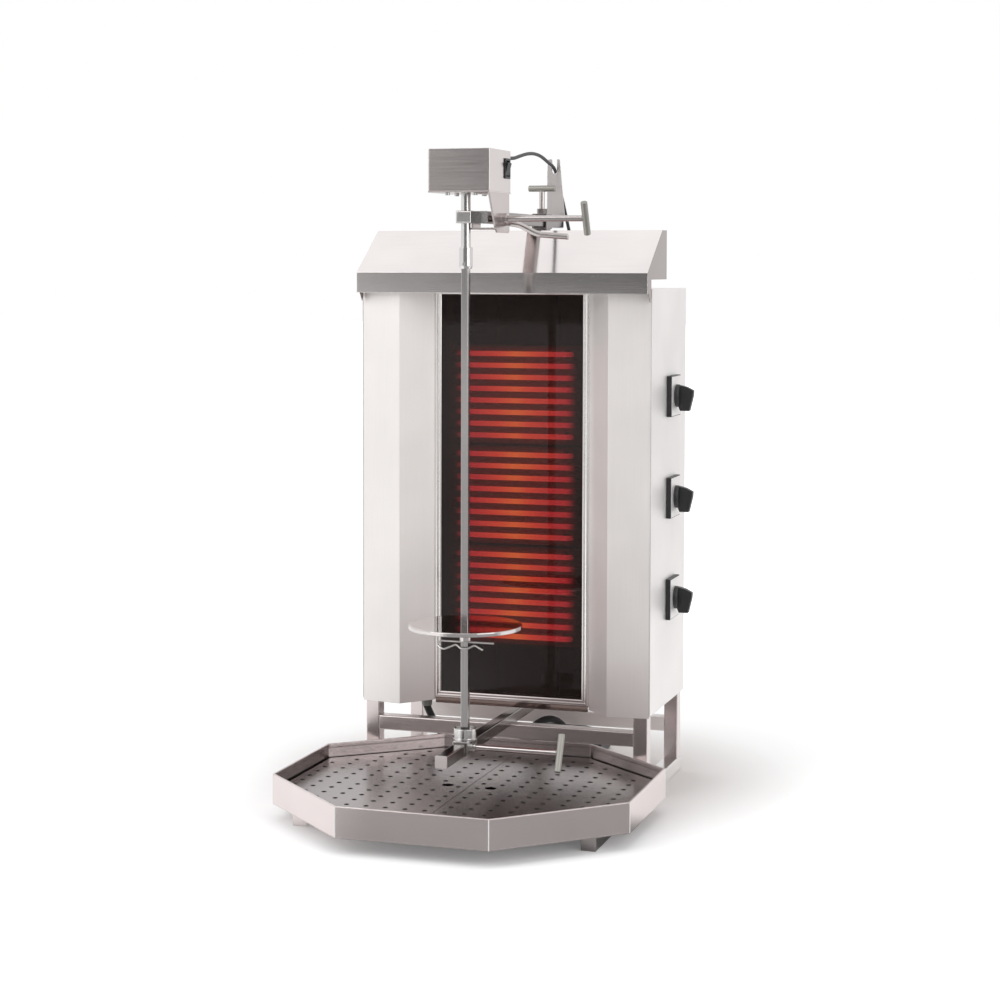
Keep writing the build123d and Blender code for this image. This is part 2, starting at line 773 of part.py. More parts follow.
with BuildPart() as base_screws:
    with BuildSketch(Plane.XY.offset(motor_base_z)):
        with Locations((0, spit_y)):
            with GridLocations(2 * screw_offset, 2 * screw_offset, 2, 2):
                Circle(4)
    extrude(amount=-4.5)
    with BuildSketch(Plane.XY.offset(motor_base_z)):
        with Locations((0, spit_y)):
            with GridLocations(2 * screw_offset, 2 * screw_offset, 2, 2):
                Circle(2)
    extrude(amount=motor_base_sheet + 7)
keep(base_screws, "base_screws")

# Hanging bracket: a side plate under the box and a flange that passes below the arm
bracket_left_x = 2.0
bracket_flange_z = 970.0
bracket_bottom_z = 962.0
with BuildPart() as motor_bracket:
    with BuildSketch(Plane.YZ.offset(motor_half)):
        with BuildLine():
            Polyline(
                (motor_front_y, motor_base_z),
                (-103, bracket_flange_z + 2),
                (-92, bracket_bottom_z),
                (-32, bracket_bottom_z),
                (-28, bracket_bottom_z + 4),
                (-30, motor_base_z),
                close=True,
            )
        make_face()
    extrude(amount=-bracket_sheet)
    with BuildSketch(Plane.XY.offset(motor_base_z)):
        with Locations((motor_half, motor_mid_y)):
            Rectangle(22, motor_depth - 16, align=(Align.MAX, Align.CENTER))
    extrude(amount=-bracket_sheet)
    with BuildSketch(Plane.XY.offset(bracket_flange_z)):
        with BuildLine():
            Polyline(
                (motor_half, -103),
                (bracket_left_x + 9, -103),
                (bracket_left_x + 9, -86),
                (bracket_left_x, -86),
                (bracket_left_x, -34),
                (motor_half, -34),
                close=True,
            )
        make_face()
    extrude(amount=-bracket_sheet)
    with BuildSketch(Plane.YZ.offset(bracket_left_x)):
        with Locations((-56, bracket_flange_z - bracket_sheet)):
            Rectangle(40, 20, align=(Align.CENTER, Align.MIN))
    extrude(amount=bracket_sheet)
    boss_face = Plane(origin=(motor_half, bracket_screw_y, arm_z - 2), x_dir=(0, 1, 0), z_dir=(1, 0, 0))
    with BuildSketch(boss_face):
        Circle(9)
    extrude(amount=9)
    with Locations(boss_face.offset(9)):
        Hole(radius=screw_diameter / 2 + running_gap, depth=9 + bracket_sheet + 1)
keep(motor_bracket, "motor_bracket")

lean = math.radians(24)
bracket_tip_x = arm_x + arm_half + joint_gap
keep(
    t_screw(
        (bracket_tip_x, bracket_screw_y, arm_z - 2),
        (1, 0, 0),
        upper_bar_x - bracket_tip_x,
        (0, math.sin(lean), -math.cos(lean)),
        upper_bar_length,
    ),
    "bracket_screw",
)

# Bent rod handle on the bracket's outer face
handle_route = [(motor_half, -42, 979), (74, -42, 975), (104, -42, 960), (156, -42, 956)]
with BuildPart() as bent_handle:
    with BuildLine():
        FilletPolyline(*handle_route, radius=[30, 40])
    with BuildSketch(Plane(origin=handle_route[0], z_dir=(1, 0, 0))):
        Circle(5)
    sweep()
keep(bent_handle, "bent_handle")

# Rocker switch in a frame on the box's right side
switch_face = Plane(origin=(motor_half, switch_y, switch_z), x_dir=(0, 1, 0), z_dir=(1, 0, 0))
rocker_x = motor_half - 4
rocker_pin_radius = 1.5
with BuildPart() as switch_frame:
    with BuildSketch(switch_face):
        RectangleRounded(switch_width, switch_height, 2)
    extrude(amount=2)
    with BuildSketch(switch_face):
        Rectangle(switch_width - 5, switch_height - 5)
    extrude(amount=-14)
    with BuildSketch(switch_face.offset(2)):
        Rectangle(switch_width - 8, 2 * rocker_radius + 0.8)
    extrude(amount=-14, mode=Mode.SUBTRACT)
    with BuildSketch(Plane(origin=(rocker_x, switch_y, switch_z), x_dir=(1, 0, 0), z_dir=(0, -1, 0))):
        Circle(rocker_pin_radius + running_gap)
    extrude(amount=switch_width / 2, both=True, mode=Mode.SUBTRACT)
keep(switch_frame, "switch_frame")

with BuildPart() as rocker_switch:
    with BuildSketch(Plane(origin=(0, switch_y, 0), x_dir=(1, 0, 0), z_dir=(0, -1, 0))):
        with BuildLine():
            Polyline(
                (rocker_x, switch_z - rocker_radius + 0.2),
                (rocker_x + 5.2, switch_z - rocker_radius + 1.5),
                (rocker_x + 7.2, switch_z),
                (rocker_x + 9.4, switch_z + rocker_radius - 4.0),
                (rocker_x + 8.4, switch_z + rocker_radius - 3.2),
                (rocker_x, switch_z + rocker_radius - 0.2),
                (rocker_x - 6, switch_z),
                close=True,
            )
        make_face()
    extrude(amount=(switch_width - 8) / 2 - joint_gap, both=True)
    with BuildSketch(Plane(origin=(rocker_x, switch_y, switch_z), x_dir=(1, 0, 0), z_dir=(0, -1, 0))):
        Circle(rocker_pin_radius)
    extrude(amount=(switch_width - 6) / 2, both=True)
keep(rocker_switch, "rocker_switch")

with BuildPart() as lead_glands:
    with BuildSketch(Plane(origin=(lead_exit[0], motor_rear_y, lead_exit[2]), z_dir=(0, 1, 0))):
        RegularPolygon(7, 6)
    extrude(amount=5)
    with BuildSketch(Plane(origin=(lead_exit[0], motor_rear_y + 5, lead_exit[2]), z_dir=(0, 1, 0))):
        Circle(5.5)
    extrude(amount=lead_gland_length - 5, taper=10)
    with BuildSketch(Plane(origin=(lead_exit[0], motor_rear_y, lead_exit[2]), z_dir=(0, -1, 0))):
        Circle(5)
    extrude(amount=8)
keep(lead_glands, "motor_lead_gland")

lead_route = [
    lead_exit,
    (42, 22, 1086),
    (39, 75, 1094),
    (35, 135, 1101),
    (31, 190, 1103),
    (28, 240, 1100),
    (26, 285, 1092),
    (23, 320, 1089),
    (22, 346, 1080),
    (25, 362, 1050),
    (33, 366, 1012),
    (43, 362, 972),
    (54, 350, 938),
    (62, 336, 908),
    lead_entry,
]
keep(cord_along(lead_route, lead_diameter, "motor lead"), "motor_lead")

# Spit
# Output shaft: round in its bearings, square at its lower end
square_top_z = spit_top_z + 0.5 + sleeve_lift + 9
with BuildPart() as output_shaft:
    with BuildSketch(Plane.XY.offset(square_top_z)):
        with Locations((0, spit_y)):
            Circle(shaft_diameter / 2)
    extrude(amount=shaft_top_z - square_top_z)
    with BuildSketch(Plane.XY.offset(spit_top_z + 0.5)):
        with Locations((0, spit_y)):
            Rectangle(spit_side, spit_side)
            Circle(shaft_diameter / 2, mode=Mode.INTERSECT)
    extrude(amount=square_top_z - spit_top_z - 0.5)
keep(output_shaft, "output_shaft")

sleeve_bore_z = spit_top_z + 9
with BuildPart() as coupling_sleeve:
    with BuildSketch(Plane.XY.offset(sleeve_bottom_z)):
        with Locations((0, spit_y)):
            Circle(sleeve_diameter / 2)
    extrude(amount=sleeve_top_z - sleeve_bottom_z)
    chamfer(coupling_sleeve.edges().group_by(Axis.Z)[0], length=4, length2=2)
    with BuildSketch(Plane.XY.offset(sleeve_bottom_z)):
        with Locations((0, spit_y)):
            Rectangle(spit_side + 0.6, spit_side + 0.6)
            Circle(shaft_diameter / 2 + joint_gap, mode=Mode.INTERSECT)
    extrude(amount=sleeve_top_z - sleeve_bottom_z, mode=Mode.SUBTRACT)
    with BuildSketch(Plane.XY.offset(sleeve_bore_z)):
        with Locations((0, spit_y)):
            Circle(shaft_diameter / 2 + joint_gap)
    extrude(amount=sleeve_top_z - sleeve_bore_z, mode=Mode.SUBTRACT)
    with BuildSketch(Plane(origin=(0, spit_y - sleeve_diameter / 2, sleeve_bottom_z + 7.5), z_dir=(0, -1, 0))):
        Circle(2)
    extrude(amount=-2, mode=Mode.SUBTRACT)
keep(coupling_sleeve, "coupling_sleeve")

spit_foot_z = cup_z + 3.5 + bearing_height + joint_gap
clip_hole_pitch = 50.0
with BuildPart() as spit_rod:
    with BuildSketch(Plane.XY.offset(spit_foot_z)):
        with Locations((0, spit_y)):
            Rectangle(spit_side, spit_side)
            Circle(shaft_diameter / 2, mode=Mode.INTERSECT)
    extrude(amount=spit_top_z - spit_foot_z)
    with BuildSketch(Plane.XY.offset(spit_foot_z)):
        with Locations((0, spit_y)):
            Circle(pin_diameter / 2)
    extrude(amount=-bearing_height)
    for step in range(-2, 3):
        with Locations(
            Plane(origin=(spit_side / 2, spit_y, clip_z + step * clip_hole_pitch), z_dir=(1, 0, 0))
        ):
            Hole(radius=clip_diameter / 2 + 0.1, depth=spit_side)
keep(spit_rod, "spit_rod")

# Meat disc: a shallow dish with a hub that slides on the square spit
with BuildPart() as meat_disc:
    with BuildSketch(Plane.XY.offset(disc_z)):
        with Locations((0, spit_y)):
            Circle(disc_diameter / 2)
    extrude(amount=disc_rim)
    with BuildSketch(Plane.XY.offset(disc_z + disc_sheet)):
        with Locations((0, spit_y)):
            Circle(disc_diameter / 2 - disc_sheet)
    extrude(amount=disc_rim, mode=Mode.SUBTRACT)
    hub_z = clip_z + clip_diameter / 2 + joint_gap
    with BuildSketch(Plane.XY.offset(hub_z)):
        with Locations((0, spit_y)):
            Circle(hub_diameter / 2)
    extrude(amount=disc_z + 1 - hub_z)
    with BuildSketch(Plane.XY.offset(hub_z)):
        with Locations((0, spit_y)):
            Rectangle(spit_side + 0.6, spit_side + 0.6)
            Circle(shaft_diameter / 2 + joint_gap, mode=Mode.INTERSECT)
    extrude(amount=disc_z + disc_rim - hub_z, mode=Mode.SUBTRACT)
keep(meat_disc, "meat_disc")

# Spring clip: the straight leg passes through the spit, the waved leg grips its front
clip_plane = Plane(
    origin=(0, spit_y, clip_z), x_dir=(1, 0, 0), z_dir=(0, math.sin(math.radians(45)), -math.cos(math.radians(45)))
)
clip_points = [
    (49, 0),
    (-42, 0),
    (-46, 9),
    (-34, 17),
    (-14, 5.5),
    (-5.5, 13),
    (7, 13),
    (17, 5.5),
    (33, 14),
]
clip_route = [clip_plane.from_local_coords(point) for point in clip_points]
with BuildPart() as spring_clip:
    with BuildLine():
        FilletPolyline(*clip_route, radius=[3.5, 4, 6, 5, 4.5, 4.5, 6])
    with BuildSketch(Plane(origin=clip_route[0], z_dir=(-1, 0, 0))):
        RegularPolygon(clip_diameter / 2, 8)
    sweep()
keep(spring_clip, "spring_clip")

# Lower bearing
yoke_outer = arm_side + 2 * (joint_gap + yoke_wall)
yoke_boss = 6.0
with BuildPart() as bearing_yoke:
    with BuildSketch(Plane(origin=(0, yoke_front_y, lower_arm_z), x_dir=(1, 0, 0), z_dir=(0, 1, 0))):
        RectangleRounded(yoke_outer, yoke_outer, tube_corner)
        Rectangle(arm_side + 2 * joint_gap, arm_side + 2 * joint_gap, mode=Mode.SUBTRACT)
    extrude(amount=yoke_rear_y - yoke_front_y)
    boss_face = Plane(origin=(yoke_outer / 2, spit_y, lower_arm_z), x_dir=(0, 1, 0), z_dir=(1, 0, 0))
    with BuildSketch(boss_face):
        Circle(8.5)
    extrude(amount=yoke_boss)
    with Locations(boss_face.offset(yoke_boss)):
        Hole(radius=screw_diameter / 2 + running_gap, depth=yoke_boss + yoke_wall + 1)
keep(bearing_yoke, "bearing_yoke")

with BuildPart() as bearing_cup:
    with BuildSketch(Plane.XY.offset(cup_z)):
        with Locations((0, spit_y)):
            Circle(cup_flange / 2)
    extrude(amount=2.5)
    with BuildSketch(Plane.XY.offset(cup_z)):
        with Locations((0, spit_y)):
            Circle(cup_diameter / 2)
    extrude(amount=cup_height)
    with Locations((0, spit_y, cup_z + cup_height)):
        Hole(radius=bearing_diameter / 2 + 0.02, depth=cup_height - 3.5)
    fillet(bearing_cup.edges().filter_by(GeomType.CIRCLE).group_by(Axis.Z)[-1].sort_by(SortBy.RADIUS)[-1], 1)
keep(bearing_cup, "bearing_cup")

with BuildPart() as ball_bearing:
    with BuildSketch(Plane.XY.offset(cup_z + 3.5)):
        with Locations((0, spit_y)):
            Circle(bearing_diameter / 2)
            Circle(pin_diameter / 2 + running_gap, mode=Mode.SUBTRACT)
    extrude(amount=bearing_height)
    with BuildSketch(Plane.XY.offset(cup_z + 3.5 + bearing_height)):
        with Locations((0, spit_y)):
            Circle(12.5)
            Circle(9.5, mode=Mode.SUBTRACT)
    extrude(amount=-1, mode=Mode.SUBTRACT)
keep(ball_bearing, "ball_bearing")

lower_tip_x = arm_half + joint_gap
keep(
    t_screw(
        (lower_tip_x, spit_y, lower_arm_z),
        (1, 0, 0),
        lower_bar_x - lower_tip_x,
        (0, math.sin(lean), math.cos(lean)),
        lower_bar_length,
    ),
    "yoke_screw",
)

# Drip tray: an octagonal pan with a hemmed rim, and two perforated inserts that stand in it
tray_half_outline = [
    (tray_front_half, tray_front_y),
    (tray_half, tray_side_front_y),
    (tray_half, tray_side_rear_y),
    (tray_rear_half, tray_rear_y),
]
tray_outline = tray_half_outline + [(-x, y) for x, y in reversed(tray_half_outline)]
with BuildPart() as drip_tray:
    with BuildSketch(Plane.XY.offset(tray_floor_z)) as tray_plan:
        with BuildLine():
            Polyline(*tray_outline, close=True)
        make_face()
    extrude(amount=tray_top_z - tray_floor_z)
    basin = offset(tray_plan.sketch, amount=-tray_sheet, kind=Kind.INTERSECTION, mode=Mode.PRIVATE)
    mouth = offset(tray_plan.sketch, amount=-2 * tray_sheet, kind=Kind.INTERSECTION, mode=Mode.PRIVATE)
    with BuildSketch(Plane.XY.offset(tray_floor_z + tray_sheet)):
        add(basin)
    extrude(amount=tray_top_z - tray_hem - tray_floor_z - tray_sheet, mode=Mode.SUBTRACT)
    with BuildSketch(Plane.XY.offset(tray_floor_z + tray_sheet)):
        add(mouth)
    extrude(amount=tray_top_z - tray_floor_z, mode=Mode.SUBTRACT)
keep(drip_tray, "drip_tray")


def edge_distance(x, y):
    """How far a point lies inside the tray's outline."""
    nearest = math.inf
    for (x0, y0), (x1, y1) in zip(tray_outline, tray_outline[1:] + tray_outline[:1]):
        length = math.hypot(x1 - x0, y1 - y0)
        nearest = min(nearest, ((x1 - x0) * (y - y0) - (y1 - y0) * (x - x0)) / length)
    return nearest


insert_inset = tray_sheet * 2 + insert_gap
insert_foot_z = tray_floor_z + tray_sheet + joint_gap
seam_gap = 0.5
columns = math.ceil(tray_half / hole_pitch)
rows = math.ceil((tray_rear_y - tray_front_y) / hole_pitch)
middle_y = (tray_front_y + tray_rear_y) / 2
for side_name, sign in (("left", -1), ("right", 1)):
    with BuildPart() as insert:
        with BuildSketch(Plane.XY.offset(insert_foot_z)) as insert_plan:
            with BuildLine():
                Polyline(*tray_outline, close=True)
            make_face()
            offset(amount=-insert_inset, kind=Kind.INTERSECTION)
            with Locations((sign * (seam_gap + tray_half), middle_y)):
                Rectangle(2 * tray_half, 2 * tray_half, mode=Mode.INTERSECT)
        extrude(amount=insert_z - insert_foot_z)
        with BuildSketch(Plane.XY.offset(insert_foot_z)):
            add(offset(insert_plan.sketch, amount=-tray_sheet, kind=Kind.INTERSECTION, mode=Mode.PRIVATE))
        extrude(amount=insert_z - insert_foot_z - tray_sheet, mode=Mode.SUBTRACT)
        spots = []
        for column in range(columns):
            for row in range(-rows // 2, rows // 2 + 1):
                x = sign * (column + 0.5) * hole_pitch
                y = middle_y + row * hole_pitch
                clear = math.hypot(x - sign * finger_hole_x, y - finger_hole_y)
                if edge_distance(x, y) > insert_inset + hole_margin and clear > finger_hole_radius + 8:
                    spots.append((x, y))
        with BuildSketch(Plane.XY.offset(insert_z)):
            with Locations(*spots):
                RegularPolygon(hole_radius, 6)
            with Locations((sign * finger_hole_x, finger_hole_y)):
                Circle(finger_hole_radius)
        extrude(amount=-2 * tray_sheet, mode=Mode.SUBTRACT)
    keep(insert, f"{side_name}_insert")

# Mains cord
with BuildPart() as cable_glands:
    with BuildSketch(Plane.XY.offset(floor_z)):
        with Locations((gland_x, gland_y)):
            RegularPolygon(15, 6)
    extrude(amount=-12)
    with BuildSketch(Plane.XY.offset(floor_z - 12)):
        with Locations((gland_x, gland_y)):
            Circle(11)
    extrude(amount=-(cable_gland_length - 12), taper=9)
    with BuildSketch(Plane.XY.offset(floor_z)):
        with Locations((gland_x, gland_y)):
            Circle(10)
    extrude(amount=10)
    with BuildSketch(Plane.XY.offset(cabinet_top_z)):
        with Locations((lead_entry[0], lead_entry[1])):
            RegularPolygon(7, 6)
    extrude(amount=5)
    with BuildSketch(Plane.XY.offset(cabinet_top_z + 5)):
        with Locations((lead_entry[0], lead_entry[1])):
            Circle(5.5)
    extrude(amount=lead_gland_length - 5, taper=10)
    with BuildSketch(Plane.XY.offset(cabinet_top_z)):
        with Locations((lead_entry[0], lead_entry[1])):
            Circle(5)
    extrude(amount=-8)
keep(cable_glands, "cable_glands")

layer_z = cable_radius + 0.3
coil_start = (coil_centre_x + coil_radius, coil_centre_y, layer_z)
cable_route = [
    cable_exit,
    (gland_x, gland_y, 78),
    (-150, 228, 40),
    (-109, 245, 20.6),
    (-56, 265, 32.7),
    (-13.3, 282, 62.7),
    (14.3, 293, 89.5),
    (49.7, 307, 89.5),
    (77.3, 318, 62.7),
    (100, 342, 33),
    (106, 380, 14),
    (coil_start[0], 430, layer_z),
    coil_start,
]
keep(cord_along(cable_route, cable_diameter, "mains cable"), "mains_cable")

# Coil: half turns that spiral in on the floor, one that climbs, and half turns back out
radii = [coil_radius - coil_step * turn for turn in range(coil_half_turns)]
climb_radius = radii[-1] - coil_step
upper_z = layer_z + cable_diameter + 0.8
plug_rear_y = coil_centre_y - 70
plug_z = plug_diameter / 2 + joint_gap
with BuildPart() as cable_coil:
    with BuildLine() as coil_line:
        side = 1
        x = coil_start[0]
        for radius in radii:
            centre_x = x - side * radius
            CenterArc((centre_x, coil_centre_y, layer_z), radius, 90 - 90 * side, 180)
            x = centre_x - side * radius
            side = -side
        end_x = x - 2 * side * climb_radius
        crest_y = coil_centre_y + side * math.hypot(climb_radius, (upper_z - layer_z) / 2)
        TangentArc(
            (x, coil_centre_y, layer_z),
            ((x + end_x) / 2, crest_y, (layer_z + upper_z) / 2),
            tangent=(0, side, 0),
        )
        TangentArc(
            (end_x, coil_centre_y, upper_z),
            ((x + end_x) / 2, crest_y, (layer_z + upper_z) / 2),
            tangent=(0, side, 0),
        )
        x = end_x
        side = -side
        for radius in reversed(radii):
            centre_x = x - side * radius
            CenterArc((centre_x, coil_centre_y, upper_z), radius, 90 - 90 * side, 180)
            x = centre_x - side * radius
            side = -side
        tail = [
            (x, coil_centre_y, upper_z),
            (x, coil_centre_y - 23, upper_z),
            (x, coil_centre_y - 50, plug_z),
            (x, plug_rear_y, plug_z),
        ]
        FilletPolyline(*tail, radius=arc_radii(tail))
    with BuildSketch(Plane(origin=coil_start, z_dir=(0, 1, 0))):
        RegularPolygon(cable_radius, 8)
    sweep()
coil_edges = coil_line.edges()
coil_length = sum(run.length for run in coil_edges)
gap = least_gap(coil_line.wires()[0], coil_length, cable_diameter)
print(f"coil: {coil_length:.0f} mm, half turns {radii + [climb_radius]}, least gap {gap:.2f} mm")
keep(cable_coil, "cable_coil")

# Plug: a boot, a grip, a collar and a sleeve round five pins
boot_length = 32.0
grip_length = 42.0
collar_length = 10.0
sleeve_length = plug_length - boot_length - grip_length - collar_length
plug_radius = plug_diameter / 2
with BuildPart() as mains_plug:
    start = Plane(origin=(x, plug_rear_y, plug_z), x_dir=(1, 0, 0), z_dir=(0, -1, 0))
    with BuildSketch(start):
        Circle(cable_radius + 2.5)
    with BuildSketch(start.offset(boot_length)):
        Circle(plug_radius - 12)
    loft()
    with BuildSketch(start.offset(boot_length)):
        Circle(plug_radius - 4)
    extrude(amount=grip_length)
    with BuildSketch(start.offset(boot_length + grip_length)):
        Circle(plug_radius)
    extrude(amount=collar_length)
    with BuildSketch(start.offset(boot_length + grip_length + collar_length)):
        Circle(plug_radius - 3)
        Circle(plug_radius - 6, mode=Mode.SUBTRACT)
    extrude(amount=sleeve_length)
    with BuildSketch(start.offset(boot_length + grip_length + collar_length)):
        with PolarLocations(plug_radius - 12, 5):
            Circle(3)
    extrude(amount=sleeve_length - 3)
keep(mains_plug, "mains_plug")
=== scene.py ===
"""The electric doner kebab grill: materials, cords, floor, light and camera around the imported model."""

import math

import bmesh
import bpy
from mathutils import Euler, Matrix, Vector


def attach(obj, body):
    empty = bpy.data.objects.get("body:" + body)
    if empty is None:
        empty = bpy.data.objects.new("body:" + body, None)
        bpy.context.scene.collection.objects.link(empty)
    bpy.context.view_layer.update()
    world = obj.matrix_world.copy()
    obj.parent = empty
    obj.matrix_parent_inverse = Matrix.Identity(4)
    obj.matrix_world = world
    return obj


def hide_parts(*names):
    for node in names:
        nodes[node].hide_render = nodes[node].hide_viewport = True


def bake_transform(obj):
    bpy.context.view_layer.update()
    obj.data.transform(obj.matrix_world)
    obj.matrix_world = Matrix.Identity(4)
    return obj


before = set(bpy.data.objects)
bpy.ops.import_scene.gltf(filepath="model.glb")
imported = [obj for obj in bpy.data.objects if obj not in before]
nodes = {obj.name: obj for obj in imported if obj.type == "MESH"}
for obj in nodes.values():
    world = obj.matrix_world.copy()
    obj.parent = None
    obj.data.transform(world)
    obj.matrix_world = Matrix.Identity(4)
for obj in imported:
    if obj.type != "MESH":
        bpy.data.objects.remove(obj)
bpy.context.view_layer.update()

# Places in the CAD model, in metres
GROUPS = (("low", "lower", 0.33), ("mid", "middle", 0.507), ("top", "upper", 0.6835))
SPIT_Y = -0.098
TRAY_Y = -0.084
FRAME_Y = 0.15
KNOB_Y = 0.2545
RAIL_X, RAIL_FRONT_Y, RAIL_BACK_Y = 0.2425, -0.2184, 0.3651
INSERT_TOP = 0.0505
FINGER_HOLE_X, FINGER_HOLE_Y = 0.037, -0.076


# Node helpers
def link(tree, source, target):
    """Joins an output socket to an input socket."""
    tree.links.new(source, target)


def feed(tree, value, target):
    """Fills an input socket from an output socket, or with a value of its own."""
    if isinstance(value, bpy.types.NodeSocket):
        link(tree, value, target)
    else:
        target.default_value = value


def add_node(tree, kind, **settings):
    """A shader node with some of its settings filled in."""
    node = tree.nodes.new(kind)
    for name, value in settings.items():
        setattr(node, name, value)
    return node


def new_material(name):
    """An empty material with a Principled shader, as (material, tree, shader)."""
    material = bpy.data.materials.new(name)
    material.use_nodes = True
    tree = material.node_tree
    return material, tree, tree.nodes["Principled BSDF"]


def component(tree, vector, axis):
    """One component of a vector."""
    apart = add_node(tree, "ShaderNodeSeparateXYZ")
    link(tree, vector, apart.inputs["Vector"])
    return apart.outputs[axis]


def position(tree, axis):
    """One object coordinate in metres."""
    return component(tree, add_node(tree, "ShaderNodeTexCoord").outputs["Object"], axis)


def facing(tree, axis):
    """One component of the direction that the surface faces."""
    return component(tree, add_node(tree, "ShaderNodeNewGeometry").outputs["Normal"], axis)


def calc(tree, operation, *values):
    """One step of arithmetic on sockets or numbers."""
    node = add_node(tree, "ShaderNodeMath", operation=operation)
    for socket, value in zip(node.inputs, values):
        feed(tree, value, socket)
    return node.outputs[0]


def place(tree, scale=(1, 1, 1)):
    """Object coordinates in metres, scaled."""
    where = add_node(tree, "ShaderNodeTexCoord")
    mapping = add_node(tree, "ShaderNodeMapping")
    mapping.inputs["Scale"].default_value = scale
    link(tree, where.outputs["Object"], mapping.inputs["Vector"])
    return mapping.outputs["Vector"]


def noise(tree, vector, scale, detail, roughness=0.5):
    """A noise texture's value at a position."""
    texture = add_node(tree, "ShaderNodeTexNoise")
    texture.inputs["Scale"].default_value = scale
    texture.inputs["Detail"].default_value = detail
    texture.inputs["Roughness"].default_value = roughness
    link(tree, vector, texture.inputs["Vector"])
    return texture.outputs["Fac"]


def ramp(tree, value, stops):
    """A colour ramp over a value; each stop is (position, colour or grey)."""
    node = add_node(tree, "ShaderNodeValToRGB")
    elements = node.color_ramp.elements
    while len(elements) < len(stops):
        elements.new(0.5)
    for element, (where, colour) in zip(elements, stops):
        element.position = where
        if not hasattr(colour, "__len__"):
            colour = (colour, colour, colour)
        element.color = (*colour, 1)
    link(tree, value, node.inputs["Fac"])
    return node.outputs["Color"]


def span(tree, value, low, high, start=0.0, end=1.0, interpolation="LINEAR"):
    """A value between start and end moved to the range from low to high."""
    node = add_node(tree, "ShaderNodeMapRange", interpolation_type=interpolation)
    for label, limit in (("From Min", start), ("From Max", end), ("To Min", low), ("To Max", high)):
        node.inputs[label].default_value = limit
    link(tree, value, node.inputs["Value"])
    return node.outputs["Result"]


def smooth_step(tree, value, start, end):
    """A value that rises smoothly from 0 to 1 between two limits."""
    return span(tree, value, 0.0, 1.0, start, end, "SMOOTHSTEP")


def mix_colours(tree, first, second, share=1.0, blend_type="MIX"):
    """Two colours mixed, or blended in another way, by a share."""
    node = add_node(tree, "ShaderNodeMix", data_type="RGBA", blend_type=blend_type)
    for index, value in ((0, share), (6, first), (7, second)):
        feed(tree, value, node.inputs[index])
    return node.outputs[2]


def bump(tree, height, strength, distance, shader, before=None):
    """A bump from a height, on top of an earlier normal if there is one, linked to a shader's normal."""
    node = add_node(tree, "ShaderNodeBump")
    node.inputs["Strength"].default_value = strength
    node.inputs["Distance"].default_value = distance
    link(tree, height, node.inputs["Height"])
    if before is not None:
        link(tree, before, node.inputs["Normal"])
    link(tree, node.outputs["Normal"], shader.inputs["Normal"])
    return node.outputs["Normal"]


# Object and mesh helpers
def add_object(name, data):
    """An object with this data, linked to the scene."""
    piece = bpy.data.objects.new(name, data)
    bpy.context.scene.collection.objects.link(piece)
    return piece


def mesh_piece(name, mesh, material, body, wall=0.0, round_by=0.0):
    """Makes a piece from bmesh data, with a wall or rounded edges if asked, and lets it ride on a body."""
    bmesh.ops.recalc_face_normals(mesh, faces=mesh.faces)
    data = bpy.data.meshes.new(name)
    mesh.to_mesh(data)
    mesh.free()
    piece = add_object(name, data)
    data.materials.append(material)
    if wall:
        solid = piece.modifiers.new("wall", "SOLIDIFY")
        solid.thickness = wall
        solid.offset = 0
    if round_by:
        bevel = piece.modifiers.new("edges", "BEVEL")
        bevel.width = round_by
        bevel.segments = 3
        bevel.limit_method = "ANGLE"
    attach(piece, body)
    return piece


def slab(mesh, low, high):
    """Adds a box between two corners."""
    made = bmesh.ops.create_cube(mesh, size=1.0)["verts"]
    for vert in made:
        vert.co = Vector([low[k] if vert.co[k] < 0 else high[k] for k in range(3)])


def angles(count):
    """Equal steps round a full turn."""
    return [math.tau * step / count for step in range(count)]


def join_rings(mesh, rings):
    """Fills each gap between neighbouring rings of vertices with quads, and returns them gap by gap."""
    bands = []
    for inner, outer in zip(rings, rings[1:]):
        following = list(range(1, len(inner))) + [0]
        bands.append([
            mesh.faces.new((inner[i], inner[j], outer[j], outer[i])) for i, j in enumerate(following)
        ])
    return bands


def line_curve(name, kind, places, radius, rounding):
    """Curve data of a round line with these points, in metres."""
    curve = bpy.data.curves.new(name, "CURVE")
    curve.dimensions = "3D"
    curve.bevel_depth = radius
    curve.bevel_resolution = rounding
    curve.resolution_u = 6
    spline = curve.splines.new(kind)
    spline.points.add(len(places) - 1)
    for point, where in zip(spline.points, places):
        point.co = (*where, 1)
    return curve


def line_mesh(line):
    """The smooth mesh of a round line, whose own object is removed."""
    mesh = bpy.data.meshes.new_from_object(line)
    bpy.data.objects.remove(line)
    for polygon in mesh.polygons:
        polygon.use_smooth = True
    return mesh


